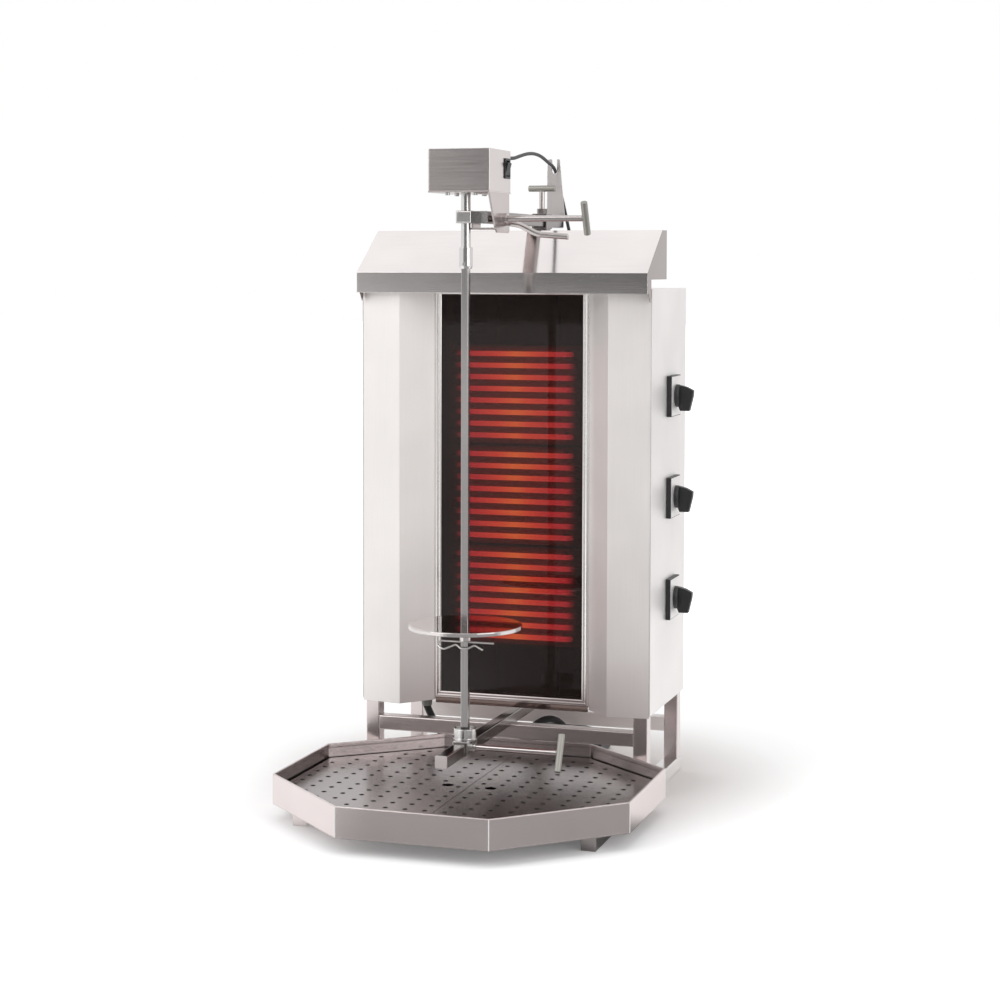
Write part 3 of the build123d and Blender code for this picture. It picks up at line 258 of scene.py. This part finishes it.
# Steels
def brushed_steel(
    name, colour, roughness, grain, streak, waviness=0.0, metallic=1.0, edge_radius=0.0012,
    painted_shade=None, grain_depth=0.12,
):
    """Stainless steel with fine grain along one axis, cloudy tone, faint sheet waviness and maybe painted
    shade.
    """
    material, tree, shader = new_material(name)
    shader.inputs["Metallic"].default_value = metallic
    fine = noise(tree, place(tree, grain), 1.0, 4.0, 0.6)
    cloud = noise(tree, place(tree), 7.0, 2.0)
    low = [channel * (1 - streak * 4) for channel in colour]
    tone = ramp(tree, fine, [(0.3, low), (0.7, colour)])
    tone = mix_colours(tree, tone, ramp(tree, cloud, [(0.3, 0.93), (0.7, 1.0)]), blend_type="MULTIPLY")
    # Painted shade, where asked, is multiplied into the tone
    if painted_shade:
        tone = mix_colours(tree, tone, painted_shade(tree), blend_type="MULTIPLY")
    link(tree, tone, shader.inputs["Base Color"])
    link(tree, span(tree, fine, roughness * 0.8, roughness * 1.25), shader.inputs["Roughness"])
    edge = add_node(tree, "ShaderNodeBevel", samples=4)
    edge.inputs["Radius"].default_value = edge_radius
    normal = bump(tree, fine, grain_depth, 0.0004, shader, edge.outputs["Normal"])
    if waviness:
        slow = noise(tree, place(tree), 5.0, 1.0)
        bump(tree, slow, waviness, 0.02, shader, normal)
    return material


def painted_shade_near_tray(tree):
    """Painted shade beside and round the window, darker towards the tray; the left wing's outer face has none.
    """
    outer_fold = -0.1865
    height = ramp(
        tree, position(tree, "Z"), [(0.13, (0.7, 0.66, 0.66)), (0.24, (0.88, 0.86, 0.86)), (0.45, 1.0)]
    )
    return mix_colours(
        tree, (1, 1, 1, 1), height, calc(tree, "GREATER_THAN", position(tree, "X"), outer_fold)
    )


def end_shade(tree):
    """Painted shade on the hood's ends: darker where the sheet faces sideways than on its slope."""
    sideways = calc(tree, "ABSOLUTE", facing(tree, "X"))
    return ramp(tree, sideways, [(0.85, 1.0), (0.95, (0.3, 0.26, 0.25))])


def painted_shade_under_inserts(tree):
    """Painted shade on the tray's floor, under the inserts: dark where it faces up below their height."""
    upward = calc(tree, "GREATER_THAN", facing(tree, "Z"), 0.9)
    below_inserts = calc(tree, "LESS_THAN", position(tree, "Z"), 0.045)
    both = calc(tree, "MULTIPLY", upward, below_inserts)
    return ramp(tree, both, [(0.0, 1.0), (1.0, (0.16, 0.14, 0.13))])


def screw_steel(name, axis, limit):
    """Polished rod and, beyond a limit along an axis, the matt blasted steel of its bar."""
    material, tree, shader = new_material(name)
    shader.inputs["Metallic"].default_value = 1.0
    grain = noise(tree, place(tree), 1500.0, 2.0)
    beyond = calc(tree, "GREATER_THAN", position(tree, axis), limit)
    matt = ramp(tree, grain, [(0.3, (0.3, 0.29, 0.26)), (0.7, (0.42, 0.41, 0.38))])
    bright = ramp(tree, grain, [(0.3, (0.52, 0.48, 0.47)), (0.7, (0.6, 0.56, 0.55))])
    link(tree, mix_colours(tree, bright, matt, beyond), shader.inputs["Base Color"])
    link(tree, span(tree, beyond, 0.16, 0.5), shader.inputs["Roughness"])
    bump(tree, grain, 0.15, 0.0003, shader)
    return material


def oxidised_steel():
    """Sheet darkened by heat, with cloudy tone."""
    material, tree, shader = new_material("oxidised steel")
    cloud = noise(tree, place(tree), 14.0, 4.0)
    tone = ramp(tree, cloud, [(0.3, (0.02, 0.018, 0.017)), (0.7, (0.05, 0.045, 0.042))])
    link(tree, tone, shader.inputs["Base Color"])
    shader.inputs["Metallic"].default_value = 0.6
    shader.inputs["Roughness"].default_value = 0.6
    return material


def dress(material, *names):
    """Puts a material on carried-over nodes."""
    for name in names:
        node = nodes[name]
        if not node.material_slots:
            node.data.materials.append(material)
        for entry in node.material_slots:
            entry.material = material


along_x = (12, 900, 900)
along_y = (900, 12, 900)
along_z = (900, 900, 12)
no_grain = (900, 900, 900)

# The wing steel carries painted shade towards the tray
dress(
    brushed_steel(
        "wing steel", (0.92, 0.88, 0.86), 0.42, along_z, 0.01, waviness=0.06, metallic=0.4, painted_shade=painted_shade_near_tray,
    ),
    "left_wing", "right_wing",
)
dress(
    brushed_steel("cabinet steel", (0.88, 0.85, 0.84), 0.42, along_z, 0.01, waviness=0.05, metallic=0.7),
    "left_side_panel", "right_side_panel", "rear_panel", "top_panel", "floor_panel", "knob_bezels",
)
# The hood steel carries painted shade on its ends
dress(
    brushed_steel(
        "hood steel", (0.92, 0.87, 0.86), 0.1, along_x, 0.01, waviness=0.015, painted_shade=end_shade,
        grain_depth=0.02,
    ),
    "hood",
)
# The plate steel is darker than the cabinet's: painted shade on the hood's brackets under the hood, shared by
# the fork plate
dress(
    brushed_steel("plate steel with painted shade", (0.74, 0.7, 0.69), 0.3, along_z, 0.015),
    "hood_brackets", "fork_plate",
)
dress(brushed_steel("bracket steel", (0.6, 0.54, 0.53), 0.25, along_z, 0.02), "motor_bracket")
dress(brushed_steel("stand steel", (0.68, 0.62, 0.61), 0.22, along_x, 0.02), "front_crossbar")
dress(
    brushed_steel("post steel", (0.68, 0.62, 0.61), 0.22, along_z, 0.02),
    "front_posts", "rear_posts",
)
dress(
    brushed_steel("arm steel", (0.68, 0.66, 0.65), 0.2, along_y, 0.02),
    "floor_rails", "bearing_block", "bearing_yoke", "upper_arm_caps",
)
dress(brushed_steel("clamp steel", (0.27, 0.245, 0.24), 0.24, along_z, 0.02), "arm_clamp")
dress(brushed_steel("slide steel", (0.26, 0.235, 0.23), 0.2, along_y, 0.02), "upper_arm")
dress(
    brushed_steel("rear steel", (0.92, 0.87, 0.85), 0.45, along_x, 0.01, metallic=0.4),
    "rear_crossbar",
)
dress(brushed_steel("lower arm steel", (0.42, 0.39, 0.38), 0.14, along_y, 0.02), "lower_arm")
dress(
    brushed_steel("cap steel", (0.72, 0.66, 0.65), 0.4, along_x, 0.02, metallic=0.4),
    "lower_arm_cap",
)
dress(
    brushed_steel("motor case steel", (0.7, 0.64, 0.63), 0.2, along_x, 0.02, waviness=0.05),
    "motor_cover", "motor_base",
)
# The tray steel carries painted shade on its floor under the inserts
dress(
    brushed_steel(
        "tray steel", (0.73, 0.655, 0.645), 0.22, along_x, 0.015, waviness=0.08, edge_radius=0.003,
        painted_shade=painted_shade_under_inserts,
    ),
    "drip_tray",
)
dress(
    brushed_steel("insert steel", (0.34, 0.305, 0.3), 0.24, along_x, 0.02, waviness=0.08),
    "left_insert", "right_insert",
)
dress(
    brushed_steel("turned steel", (0.7, 0.69, 0.68), 0.16, no_grain, 0.01),
    "output_shaft", "coupling_sleeve", "bearing_cup", "ball_bearing", "base_screws",
)
dress(
    brushed_steel("spring steel", (0.95, 0.93, 0.92), 0.3, along_x, 0.01, metallic=0.7),
    "spring_clip",
)
dress(brushed_steel("spit steel", (0.56, 0.54, 0.53), 0.18, along_z, 0.02), "spit_rod")

# Each limit lies between the rod and its bar; the handle has no bar, so its limit is outside the object
dress(screw_steel("bracket screw steel", "X", 0.186), "bracket_screw")
dress(screw_steel("yoke screw steel", "X", 0.155), "yoke_screw")
dress(screw_steel("clamp screw steel", "Z", 1.039), "clamp_screw")
dress(screw_steel("handle steel", "X", 1.0), "bent_handle")


# Glass, elements and insulation
def dark_ceramic():
    """Tinted glass ceramic: dark from outside, and the glow behind it comes through."""
    material, tree, shader = new_material("glass ceramic")
    shader.inputs["Base Color"].default_value = (0.14, 0.1, 0.09, 1)
    shader.inputs["Roughness"].default_value = 0.03
    shader.inputs["Transmission Weight"].default_value = 0.9
    shader.inputs["IOR"].default_value = 1.3
    speck = noise(tree, place(tree), 40.0, 2.0)
    bump(tree, speck, 0.02, 0.001, shader)
    return material


def glowing_rod():
    """The sheath of a heating element at work: orange in its middle, redder and dark towards its ends."""
    material, tree, shader = new_material("glowing element")
    shader.inputs["Base Color"].default_value = (0.1, 0.05, 0.04, 1)
    shader.inputs["Roughness"].default_value = 0.6
    across = calc(tree, "ABSOLUTE", position(tree, "X"))
    patch = noise(tree, place(tree, (9, 9, 30)), 1.0, 2.0)
    redness = calc(tree, "MULTIPLY_ADD", patch, 0.5, span(tree, across, 0.0, 1.0, end=0.11))
    glow = ramp(
        tree, redness, [(0.22, (1.0, 0.23, 0.06)), (0.52, (0.88, 0.1, 0.055)), (0.95, (0.6, 0.035, 0.05))]
    )
    link(tree, glow, shader.inputs["Emission Color"])
    fade = span(tree, across, 4.4, 0.02, 0.088, 0.112, "SMOOTHSTEP")
    link(tree, fade, shader.inputs["Emission Strength"])
    return material


def mineral_board():
    """Fibrous insulation board, whose colour has the elements' red glow painted into it."""
    material, tree, shader = new_material("insulation board")
    fibre = noise(tree, place(tree), 300.0, 4.0)
    tone = ramp(tree, fibre, [(0.3, (0.26, 0.1, 0.09)), (0.7, (0.36, 0.15, 0.13))])
    link(tree, tone, shader.inputs["Base Color"])
    shader.inputs["Roughness"].default_value = 0.95
    bump(tree, fibre, 0.3, 0.001, shader)
    return material


dress(dark_ceramic(), "ceramic_glass")
glow_material = glowing_rod()
dress(glow_material, "heating_elements")
dress(mineral_board(), "insulation_boards")
dark_sheet = oxidised_steel()
dress(dark_sheet, "heater_mounts")


def chamber_back(material):
    """A sheet, 1.2 mm thick and folded forward at both sides, that closes the chamber behind the pans."""
    outline = ((-0.2, 0.17), (-0.2, 0.227), (0.2, 0.227), (0.2, 0.17))
    low, high, thick = 0.148, 0.856, 0.0012
    mesh = bmesh.new()
    lower = [mesh.verts.new((x, y, low)) for x, y in outline]
    upper = [mesh.verts.new((x, y, high)) for x, y in outline]
    for i in range(len(outline) - 1):
        mesh.faces.new((lower[i], lower[i + 1], upper[i + 1], upper[i]))
    data = bpy.data.meshes.new("chamber_back")
    mesh.to_mesh(data)
    mesh.free()
    piece = add_object("chamber_back", data)
    piece.modifiers.new("wall", "SOLIDIFY").thickness = thick
    data.materials.append(material)
    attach(piece, "cabinet")


chamber_back(dark_sheet)


# Heating rods: bent to and fro as in the CAD, with longer runs
def heating_rod(name, middle):
    """One sheathed rod of eight runs, whose two tails run back from the first and the last."""
    runs, pitch, bend, reach, depth = 8, 0.0205, 0.01025, 0.1185, 0.1793
    first, last = middle - 3.5 * pitch, middle + 3.5 * pitch
    tail = ((0.102, 0.222), (0.102, depth + 0.012), (0.0988, depth + 0.0035), (0.09, depth))
    places = [(x, y, first) for x, y in tail]
    for run in range(runs - 1):
        side = 1 if run % 2 else -1
        z = first + run * pitch
        for step in range(9):
            angle = math.pi * step / 8
            places.append(
                (side * (reach - bend + bend * math.sin(angle)), depth, z + bend * (1 - math.cos(angle)))
            )
    places += [(x, y, last) for x, y in reversed(tail)]
    line = bpy.data.objects.new(name, line_curve(name, "POLY", places, 0.0045, 3))
    rod = add_object(name, line_mesh(line))
    rod.data.materials.append(glow_material)
    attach(rod, "cabinet")
    return rod


rods = [heating_rod(f"heating_rod_{group}", height) for group, _, height in GROUPS]
for rod in rods:
    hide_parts("heating_elements")


# Window frame: two steps round the glass, narrow at the top
def window_ring():
    """A folded ring whose cross-section has a groove between its two steps."""
    low, high, half = 0.1475, 0.861, 0.1407
    side_strip, low_strip, high_strip = 0.012, 0.0115, 0.0018
    section = [
        (0.0, 0.0095), (0.0, 0.0016), (0.1, 0.0009), (0.2, 0.0004), (0.3, 0.0001), (0.36, 0.0),
        (0.42, 0.0001), (0.5, 0.0004), (0.58, 0.0009), (0.62, 0.0016), (0.69, 0.0016), (0.71, 0.001),
        (0.78, 0.0005), (0.86, 0.0003), (0.93, 0.0007), (1.0, 0.0012), (1.0, 0.0018),
    ]
    mesh = bmesh.new()
    rings = []
    for share, depth in section:
        x = half - share * side_strip
        y = FRAME_Y + depth
        z0 = low + share * low_strip
        z1 = high - share * high_strip
        rings.append([mesh.verts.new(corner) for corner in ((-x, y, z0), (x, y, z0), (x, y, z1), (-x, y, z1))])
    for band in join_rings(mesh, rings):
        sill = band[0]
        sill.material_index = 1
    return mesh


# The frame steel carries painted shade towards the tray
frame_steel = brushed_steel(
    "frame steel", (0.96, 0.93, 0.91), 0.18, along_z, 0.01, painted_shade=painted_shade_near_tray, edge_radius=0.0004,
    grain_depth=0.03,
)
ring = mesh_piece("window_ring", window_ring(), frame_steel, "cabinet", wall=0.0006)
ring.data.materials.append(
    brushed_steel("sill steel", (0.5, 0.45, 0.44), 0.32, along_x, 0.015, edge_radius=0.0004)
)
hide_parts("window_frame")

# Plates over the rails' ends
ends = bmesh.new()
for side in (-1, 1):
    for y in (RAIL_FRONT_Y, RAIL_BACK_Y):
        slab(ends, (side * RAIL_X - 0.0124, y, 0.0001), (side * RAIL_X + 0.0124, y + 0.0013, 0.0249))
mesh_piece(
    "rail_end_plates", ends, nodes["front_posts"].material_slots[0].material, "cabinet",
    round_by=0.0006,
)


# Meat disc: a flat plate with its edge turned down, on a hub with a square hole
def plate_disc():
    """Rings from the hole down the hub, under the plate, round its edge and back over its top."""
    hub, inside, plate = 0.009, 0.091, 0.093
    foot, lip, under, top = 0.2961, 0.3175, 0.3216, 0.324
    square, corner = 0.00615, 0.0081
    section = [
        (0, foot), (hub, foot), (hub, under), (inside, under), (inside, lip), (plate, lip),
        (plate, 0.3228), (plate - 0.0004, 0.3236), (plate - 0.0012, top), (0, top),
    ]
    mesh = bmesh.new()
    rings = []
    for radius, z in section:
        ring = []
        for angle in angles(96):
            across, along = math.cos(angle), math.sin(angle)
            reach = radius or min(corner, square / max(abs(across), abs(along)))
            ring.append(mesh.verts.new((reach * across, SPIT_Y + reach * along, z)))
        rings.append(ring)
    join_rings(mesh, rings + rings[:1])
    return mesh


disc_steel = brushed_steel(
    "disc steel", (0.66, 0.62, 0.61), 0.05, along_x, 0.01, edge_radius=0.002, grain_depth=0.01
)
disc = mesh_piece("meat_plate", plate_disc(), disc_steel, "disc")
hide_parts("meat_disc")

# Painted highlights up the tray's folded corners, and painted shade round the inserts' holes
TRAY_OUTLINE = [
    (0.125, -0.358), (0.302, -0.19), (0.302, 0.048), (0.135, 0.19),
    (-0.135, 0.19), (-0.302, 0.048), (-0.302, -0.19), (-0.125, -0.358),
]


def tray_corner_highlights():
    """A thin bright round bead up each outer corner of the tray: a painted highlight of its folded corner."""
    radius, depth, middle, sunk = 0.0009, 0.0478, 0.0502, 0.0005
    mesh = bmesh.new()
    for x, y in TRAY_OUTLINE:
        inward = Vector((-x, TRAY_Y - y)).normalized() * sunk
        made = bmesh.ops.create_cone(
            mesh, cap_ends=True, segments=12, radius1=radius, radius2=radius, depth=depth,
        )["verts"]
        for vert in made:
            vert.co += Vector((x + inward.x, y + inward.y, middle))
    return mesh


# The beads' bright steel is a painted highlight
corner_highlight_steel = brushed_steel("corner highlight steel", (0.95, 0.93, 0.92), 0.4, along_z, 0.01, metallic=0.3)
mesh_piece("tray_corner_highlights", tray_corner_highlights(), corner_highlight_steel, "tray")


def tray_edge_distance(x, y):
    """How far a point lies inside the tray's outline."""
    nearest = 1.0
    for (x0, y0), (x1, y1) in zip(TRAY_OUTLINE, TRAY_OUTLINE[1:] + TRAY_OUTLINE[:1]):
        length = math.hypot(x1 - x0, y1 - y0)
        nearest = min(nearest, ((x1 - x0) * (y - y0) - (y1 - y0) * (x - x0)) / length)
    return nearest


def has_hole(side, x, y):
    """Whether the CAD's insert has a small hole at this place of its grid."""
    from_finger_hole = math.hypot(x - side * FINGER_HOLE_X, y - FINGER_HOLE_Y)
    return tray_edge_distance(x, y) > 0.019 and from_finger_hole > 0.018


def hole_rims(side):
    """Dark rings round the holes of one insert, on the CAD's grid: painted shade that makes each hole look
    wider and darker.
    """
    pitch, turns = 0.033, 16
    section = (
        (0.0029, INSERT_TOP - 0.0012), (0.0029, INSERT_TOP + 0.0003),
        (0.0041, INSERT_TOP + 0.0003), (0.0043, INSERT_TOP),
    )
    mesh = bmesh.new()
    for column in range(10):
        for row in range(-9, 10):
            x, y = side * (column + 0.5) * pitch, TRAY_Y + row * pitch
            if has_hole(side, x, y):
                rings = []
                for radius, z in section:
                    rings.append([
                        mesh.verts.new((x + radius * math.cos(a), y + radius * math.sin(a), z))
                        for a in angles(turns)
                    ])
                join_rings(mesh, rings)
    return mesh


# The hole rims are painted shade round the holes
mesh_piece("left_hole_rims", hole_rims(-1), dark_sheet, "insert_left")
mesh_piece("right_hole_rims", hole_rims(1), dark_sheet, "insert_right")


# Plastics and rubber
def moulded(name, colour, roughness=0.45, grain_scale=1200.0):
    """Moulded plastic with a fine spark-eroded grain and slight tone changes."""
    material, tree, shader = new_material(name)
    grain = noise(tree, place(tree), grain_scale, 2.0)
    dull = [channel * 0.8 for channel in colour]
    link(tree, ramp(tree, grain, [(0.3, dull), (0.7, colour)]), shader.inputs["Base Color"])
    link(tree, span(tree, grain, roughness * 0.85, roughness * 1.15), shader.inputs["Roughness"])
    bump(tree, grain, 0.15, 0.0003, shader)
    return material


black = moulded("black plastic", (0.018, 0.018, 0.019))
dress(
    black, "upper_knob", "middle_knob", "lower_knob", "rocker_switch", "switch_frame",
    "energy_regulators",
)


def square_slab(low_x, high_x, middle, half):
    """A bmesh with one square slab round a knob's axis, between two distances to the side."""
    mesh = bmesh.new()
    slab(mesh, (low_x, KNOB_Y - half, middle - half), (high_x, KNOB_Y + half, middle + half))
    return mesh


def bezel(name, middle):
    """A black moulded bezel under a bright face plate."""
    body = square_slab(0.26, 0.2684, middle, 0.0355)
    base = mesh_piece(f"{name}_bezel", body, black, "cabinet", round_by=0.0012)
    face = square_slab(0.2684, 0.2691, middle, 0.034)
    bright = nodes["right_side_panel"].material_slots[0].material
    plate = mesh_piece(f"{name}_bezel_face", face, bright, "cabinet", round_by=0.0003)
    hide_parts("knob_bezels")
    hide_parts("knob_bezels")


def pointer_knob(name, middle, body):
    """A round skirt with a wedge-shaped grip across it, whose lower end overhangs the skirt."""
    base, turns = 0.2694, 40
    skirt = ((0.0, 0.0193), (0.0, 0.0198), (0.0045, 0.0196), (0.0068, 0.0185), (0.0075, 0.017))
    grip = (
        (0.0058, 0.0185), (0.0185, 0.0155), (0.0305, 0.0095), (0.0298, 0.0),
        (0.0235, -0.0262), (0.0075, -0.0262), (0.0045, -0.0185),
    )
    half_width, taper, straight = 0.0072, 0.06, 0.007
    mesh = bmesh.new()
    rings = []
    for x, radius in skirt:
        rings.append([
            mesh.verts.new((base + x, KNOB_Y + radius * math.cos(a), middle + radius * math.sin(a)))
            for a in angles(turns)
        ])
    join_rings(mesh, rings)
    mesh.faces.new(rings[0])
    mesh.faces.new(rings[-1])
    sides = []
    for side in (-1, 1):
        sides.append([
            mesh.verts.new(
                (base + x, KNOB_Y + side * (half_width - taper * max(0.0, x - straight)), middle + z)
            )
            for x, z in grip
        ])
    join_rings(mesh, sides)
    mesh.faces.new(sides[0])
    mesh.faces.new(sides[1])
    knob = mesh_piece(f"{name}_knob_moulding", mesh, black, body, round_by=0.0009)
    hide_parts(f"{name}_knob")


for group, name, middle in GROUPS:
    bezel(name, middle)
    pointer_knob(name, middle, f"knob_{group}")

dress(moulded("grey plastic", (0.3, 0.3, 0.29)), "motor_lead_gland", "cable_glands", "terminal_block")
dress(moulded("plug plastic", (0.35, 0.03, 0.025)), "mains_plug")
dress(moulded("cast housing", (0.12, 0.12, 0.125), 0.6, 500.0), "gear_motor")
rubber = moulded("rubber sheath", (0.03, 0.03, 0.031), 0.55, 900.0)


# Cords, whose control points are in millimetres
MM = 0.001
CABLE_DIAMETER = 13 * MM
LEAD_DIAMETER = 6 * MM
CABLE_FREE = [
    (-178, 215, 118), (-166, 221, 84), (-137, 234, 42), (-104, 246, 20.6), (-56, 265, 32.7),
    (-13.3, 282, 62.7), (14.3, 293, 89.5), (40, 305, 89.5), (60, 314, 62.7), (82, 337, 31),
    (106, 380, 14), (86, 430, 6.8),
]
COIL_START = (86, 475, 6.8)
COIL_RADII = (82, 75, 68)
COIL_UPPER = 20.6
COIL_TAIL = [(0, COIL_UPPER), (-23, COIL_UPPER), (-50, 28.3), (-70, 28.3)]
POINTS_PER_HALF_TURN = 8
LEAD_POINTS = [
    (42, -12, 1086), (42, 22, 1086), (39, 75, 1094), (35, 135, 1101), (31, 190, 1103), (28, 240, 1100),
    (26, 285, 1092), (23, 320, 1089), (22, 346, 1080), (25, 362, 1050), (33, 366, 1012), (43, 362, 972),
    (54, 350, 938), (62, 336, 908), (62, 336, 880),
]


def half_turn(x, side, radius, low, high):
    """Control points of a half turn from x on the coil's centre line, and the x where it ends."""
    centre = x - side * radius
    corner = radius / math.cos(math.pi / (2 * POINTS_PER_HALF_TURN))
    points = []
    for step in range(POINTS_PER_HALF_TURN):
        share = (step + 0.5) / POINTS_PER_HALF_TURN
        angle = math.pi * share
        points.append(
            (
                centre + side * corner * math.cos(angle),
                COIL_START[1] + side * corner * math.sin(angle),
                low + (high - low) * share,
            )
        )
    return points, centre - side * radius


def coil_points():
    """The coil's half turns inwards on the floor, one that climbs, half turns back out, and its tail."""
    x, middle_y, floor_z = COIL_START
    side = 1
    points = [COIL_START]
    climb = COIL_RADII[-1] - (COIL_RADII[0] - COIL_RADII[1])
    plan = [(radius, floor_z, floor_z) for radius in COIL_RADII]
    plan.append((climb, floor_z, COIL_UPPER))
    plan += [(radius, COIL_UPPER, COIL_UPPER) for radius in reversed(COIL_RADII)]
    for radius, low, high in plan:
        turn, x = half_turn(x, side, radius, low, high)
        points += turn
        side = -side
    return points + [(x, middle_y + offset, z) for offset, z in COIL_TAIL]


def cord_curve(name, points, diameter):
    """A round cord along a smooth curve with these control points, in millimetres."""
    places = [[value * MM for value in point] for point in points]
    curve = line_curve(name, "NURBS", places, diameter / 2, 4)
    spline = curve.splines[0]
    spline.order_u = 3
    spline.use_endpoint_u = True
    curve.materials.append(rubber)
    return add_object(name, curve)


def line_places(piece):
    """The points of a cord's own line."""
    bare = piece.data.copy()
    bare.bevel_depth = 0
    probe = bpy.data.objects.new("probe", bare)
    mesh = bpy.data.meshes.new_from_object(probe)
    places = [tuple(vertex.co) for vertex in mesh.vertices]
    bpy.data.objects.remove(probe)
    bpy.data.meshes.remove(mesh)
    bpy.data.curves.remove(bare)
    return places


def curve_length(piece):
    """The length of a cord's own line in metres."""
    places = [Vector(place) for place in line_places(piece)]
    return sum((b - a).length for a, b in zip(places, places[1:]))


cable_route = CABLE_FREE + coil_points()
cable = cord_curve("mains_cord", cable_route, CABLE_DIAMETER)
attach(cable, "cabinet")
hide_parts("mains_cable", "cable_coil")
round(curve_length(cable), 2)

lead_line = cord_curve("motor_cord_line", LEAD_POINTS, LEAD_DIAMETER)
lead_length = round(curve_length(lead_line), 2)
lead_path = line_places(lead_line)
lead = add_object("motor_cord", line_mesh(lead_line))
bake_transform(lead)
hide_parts("motor_lead")


# Floor, world and lights
DARK_SIDE = (0.53, -0.85, 0.0)
UNDER_OBJECT = (0, 0.25, 0)
FLOOR_IN_MIRRORS = 0.3
SKY_LIGHT = 0.58
LIT_POINT = (0, 0, 0.5)


def toward_dark_side(tree, vector):
    """How far a direction points to the studio's unlit side, in front and to the right."""
    flat = add_node(tree, "ShaderNodeVectorMath", operation="MULTIPLY")
    flat.inputs[1].default_value = (1, 1, 0)
    link(tree, vector, flat.inputs[0])
    unit = add_node(tree, "ShaderNodeVectorMath", operation="NORMALIZE")
    link(tree, flat.outputs["Vector"], unit.inputs[0])
    dot = add_node(tree, "ShaderNodeVectorMath", operation="DOT_PRODUCT")
    dot.inputs[1].default_value = DARK_SIDE
    link(tree, unit.outputs["Vector"], dot.inputs[0])
    return smooth_step(tree, dot.outputs["Value"], 0.4, 0.7)


def ray_kinds(tree):
    """Camera or transmission rays, and glossy rays, as two values."""
    rays = add_node(tree, "ShaderNodeLightPath")
    seen = calc(tree, "MAXIMUM", rays.outputs["Is Camera Ray"], rays.outputs["Is Transmission Ray"])
    return seen, rays.outputs["Is Glossy Ray"]


def floor_material():
    """Pale floor that keeps the object's shadow, has a painted shadow round the place under the object, and
    fades to white away from it.
    """
    material, tree, shader = new_material("pale floor")
    shader.inputs["Roughness"].default_value = 0.9
    shader.inputs["Specular IOR Level"].default_value = 0.1
    shader.inputs["Emission Color"].default_value = (1, 1, 1, 1)
    where = add_node(tree, "ShaderNodeTexCoord").outputs["Object"]
    measure = add_node(tree, "ShaderNodeVectorMath", operation="DISTANCE")
    measure.inputs[1].default_value = UNDER_OBJECT
    link(tree, where, measure.inputs[0])
    distance = measure.outputs["Value"]
    seen, glossy = ray_kinds(tree)
    pale = ramp(tree, calc(tree, "DIVIDE", distance, 2.5), [(0.12, 0.04), (0.32, 0.3), (0.9, 0.8)])
    near = calc(tree, "SUBTRACT", 1.0, smooth_step(tree, distance, 3.0, 9.0))
    shade = calc(tree, "MULTIPLY", calc(tree, "MULTIPLY", near, toward_dark_side(tree, where)), glossy)
    # Painted shadow: a darker, warmer floor colour near the place under the object
    painted_shadow = ramp(tree, distance, [(0.2, (0.72, 0.67, 0.65)), (0.5, 1.0)])
    ground = mix_colours(tree, ramp(tree, shade, [(0.0, 0.9), (1.0, 0.4)]), painted_shadow, blend_type="MULTIPLY")
    link(tree, ground, shader.inputs["Base Color"])
    mirrored = calc(tree, "MULTIPLY", calc(tree, "SUBTRACT", 1.0, shade), FLOOR_IN_MIRRORS)
    both = calc(tree, "ADD", calc(tree, "MULTIPLY", seen, pale), calc(tree, "MULTIPLY", glossy, mirrored))
    link(tree, both, shader.inputs["Emission Strength"])
    return material


bpy.ops.mesh.primitive_plane_add(size=60, location=(0, 0, -0.0005))
floor = bpy.context.object
floor.name = "floor"
floor.data.materials.append(floor_material())

world = bpy.data.worlds.new("studio")
bpy.context.scene.world = world
world.use_nodes = True
sky = world.node_tree
background = sky.nodes["Background"]
background.inputs["Color"].default_value = (1, 1, 1, 1)
direction = add_node(sky, "ShaderNodeTexCoord").outputs["Generated"]
above = calc(sky, "ABSOLUTE", calc(sky, "SUBTRACT", component(sky, direction, "Z"), 0.06))
band = calc(sky, "SUBTRACT", 1.0, smooth_step(sky, above, 0.18, 0.5))
shade = calc(sky, "MULTIPLY", calc(sky, "MULTIPLY", band, toward_dark_side(sky, direction)), 0.92)
seen, glossy = ray_kinds(sky)
mirrored = calc(sky, "SUBTRACT", 1.0, shade)
lit = calc(sky, "MAXIMUM", seen, calc(sky, "MULTIPLY", glossy, mirrored))
neither = calc(sky, "SUBTRACT", 1.0, calc(sky, "MAXIMUM", seen, glossy))
link(sky, calc(sky, "ADD", lit, calc(sky, "MULTIPLY", neither, SKY_LIGHT)), background.inputs["Strength"])


def area_light(name, location, size, power):
    """A square soft light aimed at the object."""
    data = bpy.data.lights.new(name, "AREA")
    data.size = size
    data.energy = power
    lamp = add_object(name, data)
    lamp.location = location
    aim = Vector(LIT_POINT) - Vector(location)
    lamp.rotation_euler = aim.to_track_quat("-Z", "Y").to_euler()
    return lamp


area_light("key", (-2.2, -2.4, 2.6), 2.6, 44)
area_light("fill", (3.0, -1.6, 1.8), 2.6, 42)
area_light("top", (0, 0.2, 3.2), 3.5, 34).visible_glossy = False

# Camera: the photograph's view, solved from the stand, cabinet and tray
camera_data = bpy.data.cameras.new("camera")
camera_data.sensor_width = 36
camera_data.lens = 77.7
camera_data.shift_y = -0.12
camera = add_object("camera", camera_data)
camera.location = (1.1155, -3.4163, 0.9065)
camera.rotation_euler = Euler((math.radians(90 - 2.996), math.radians(-0.13), math.radians(17.675)))
bpy.context.scene.camera = camera
bpy.context.scene.view_settings.view_transform = "Standard"
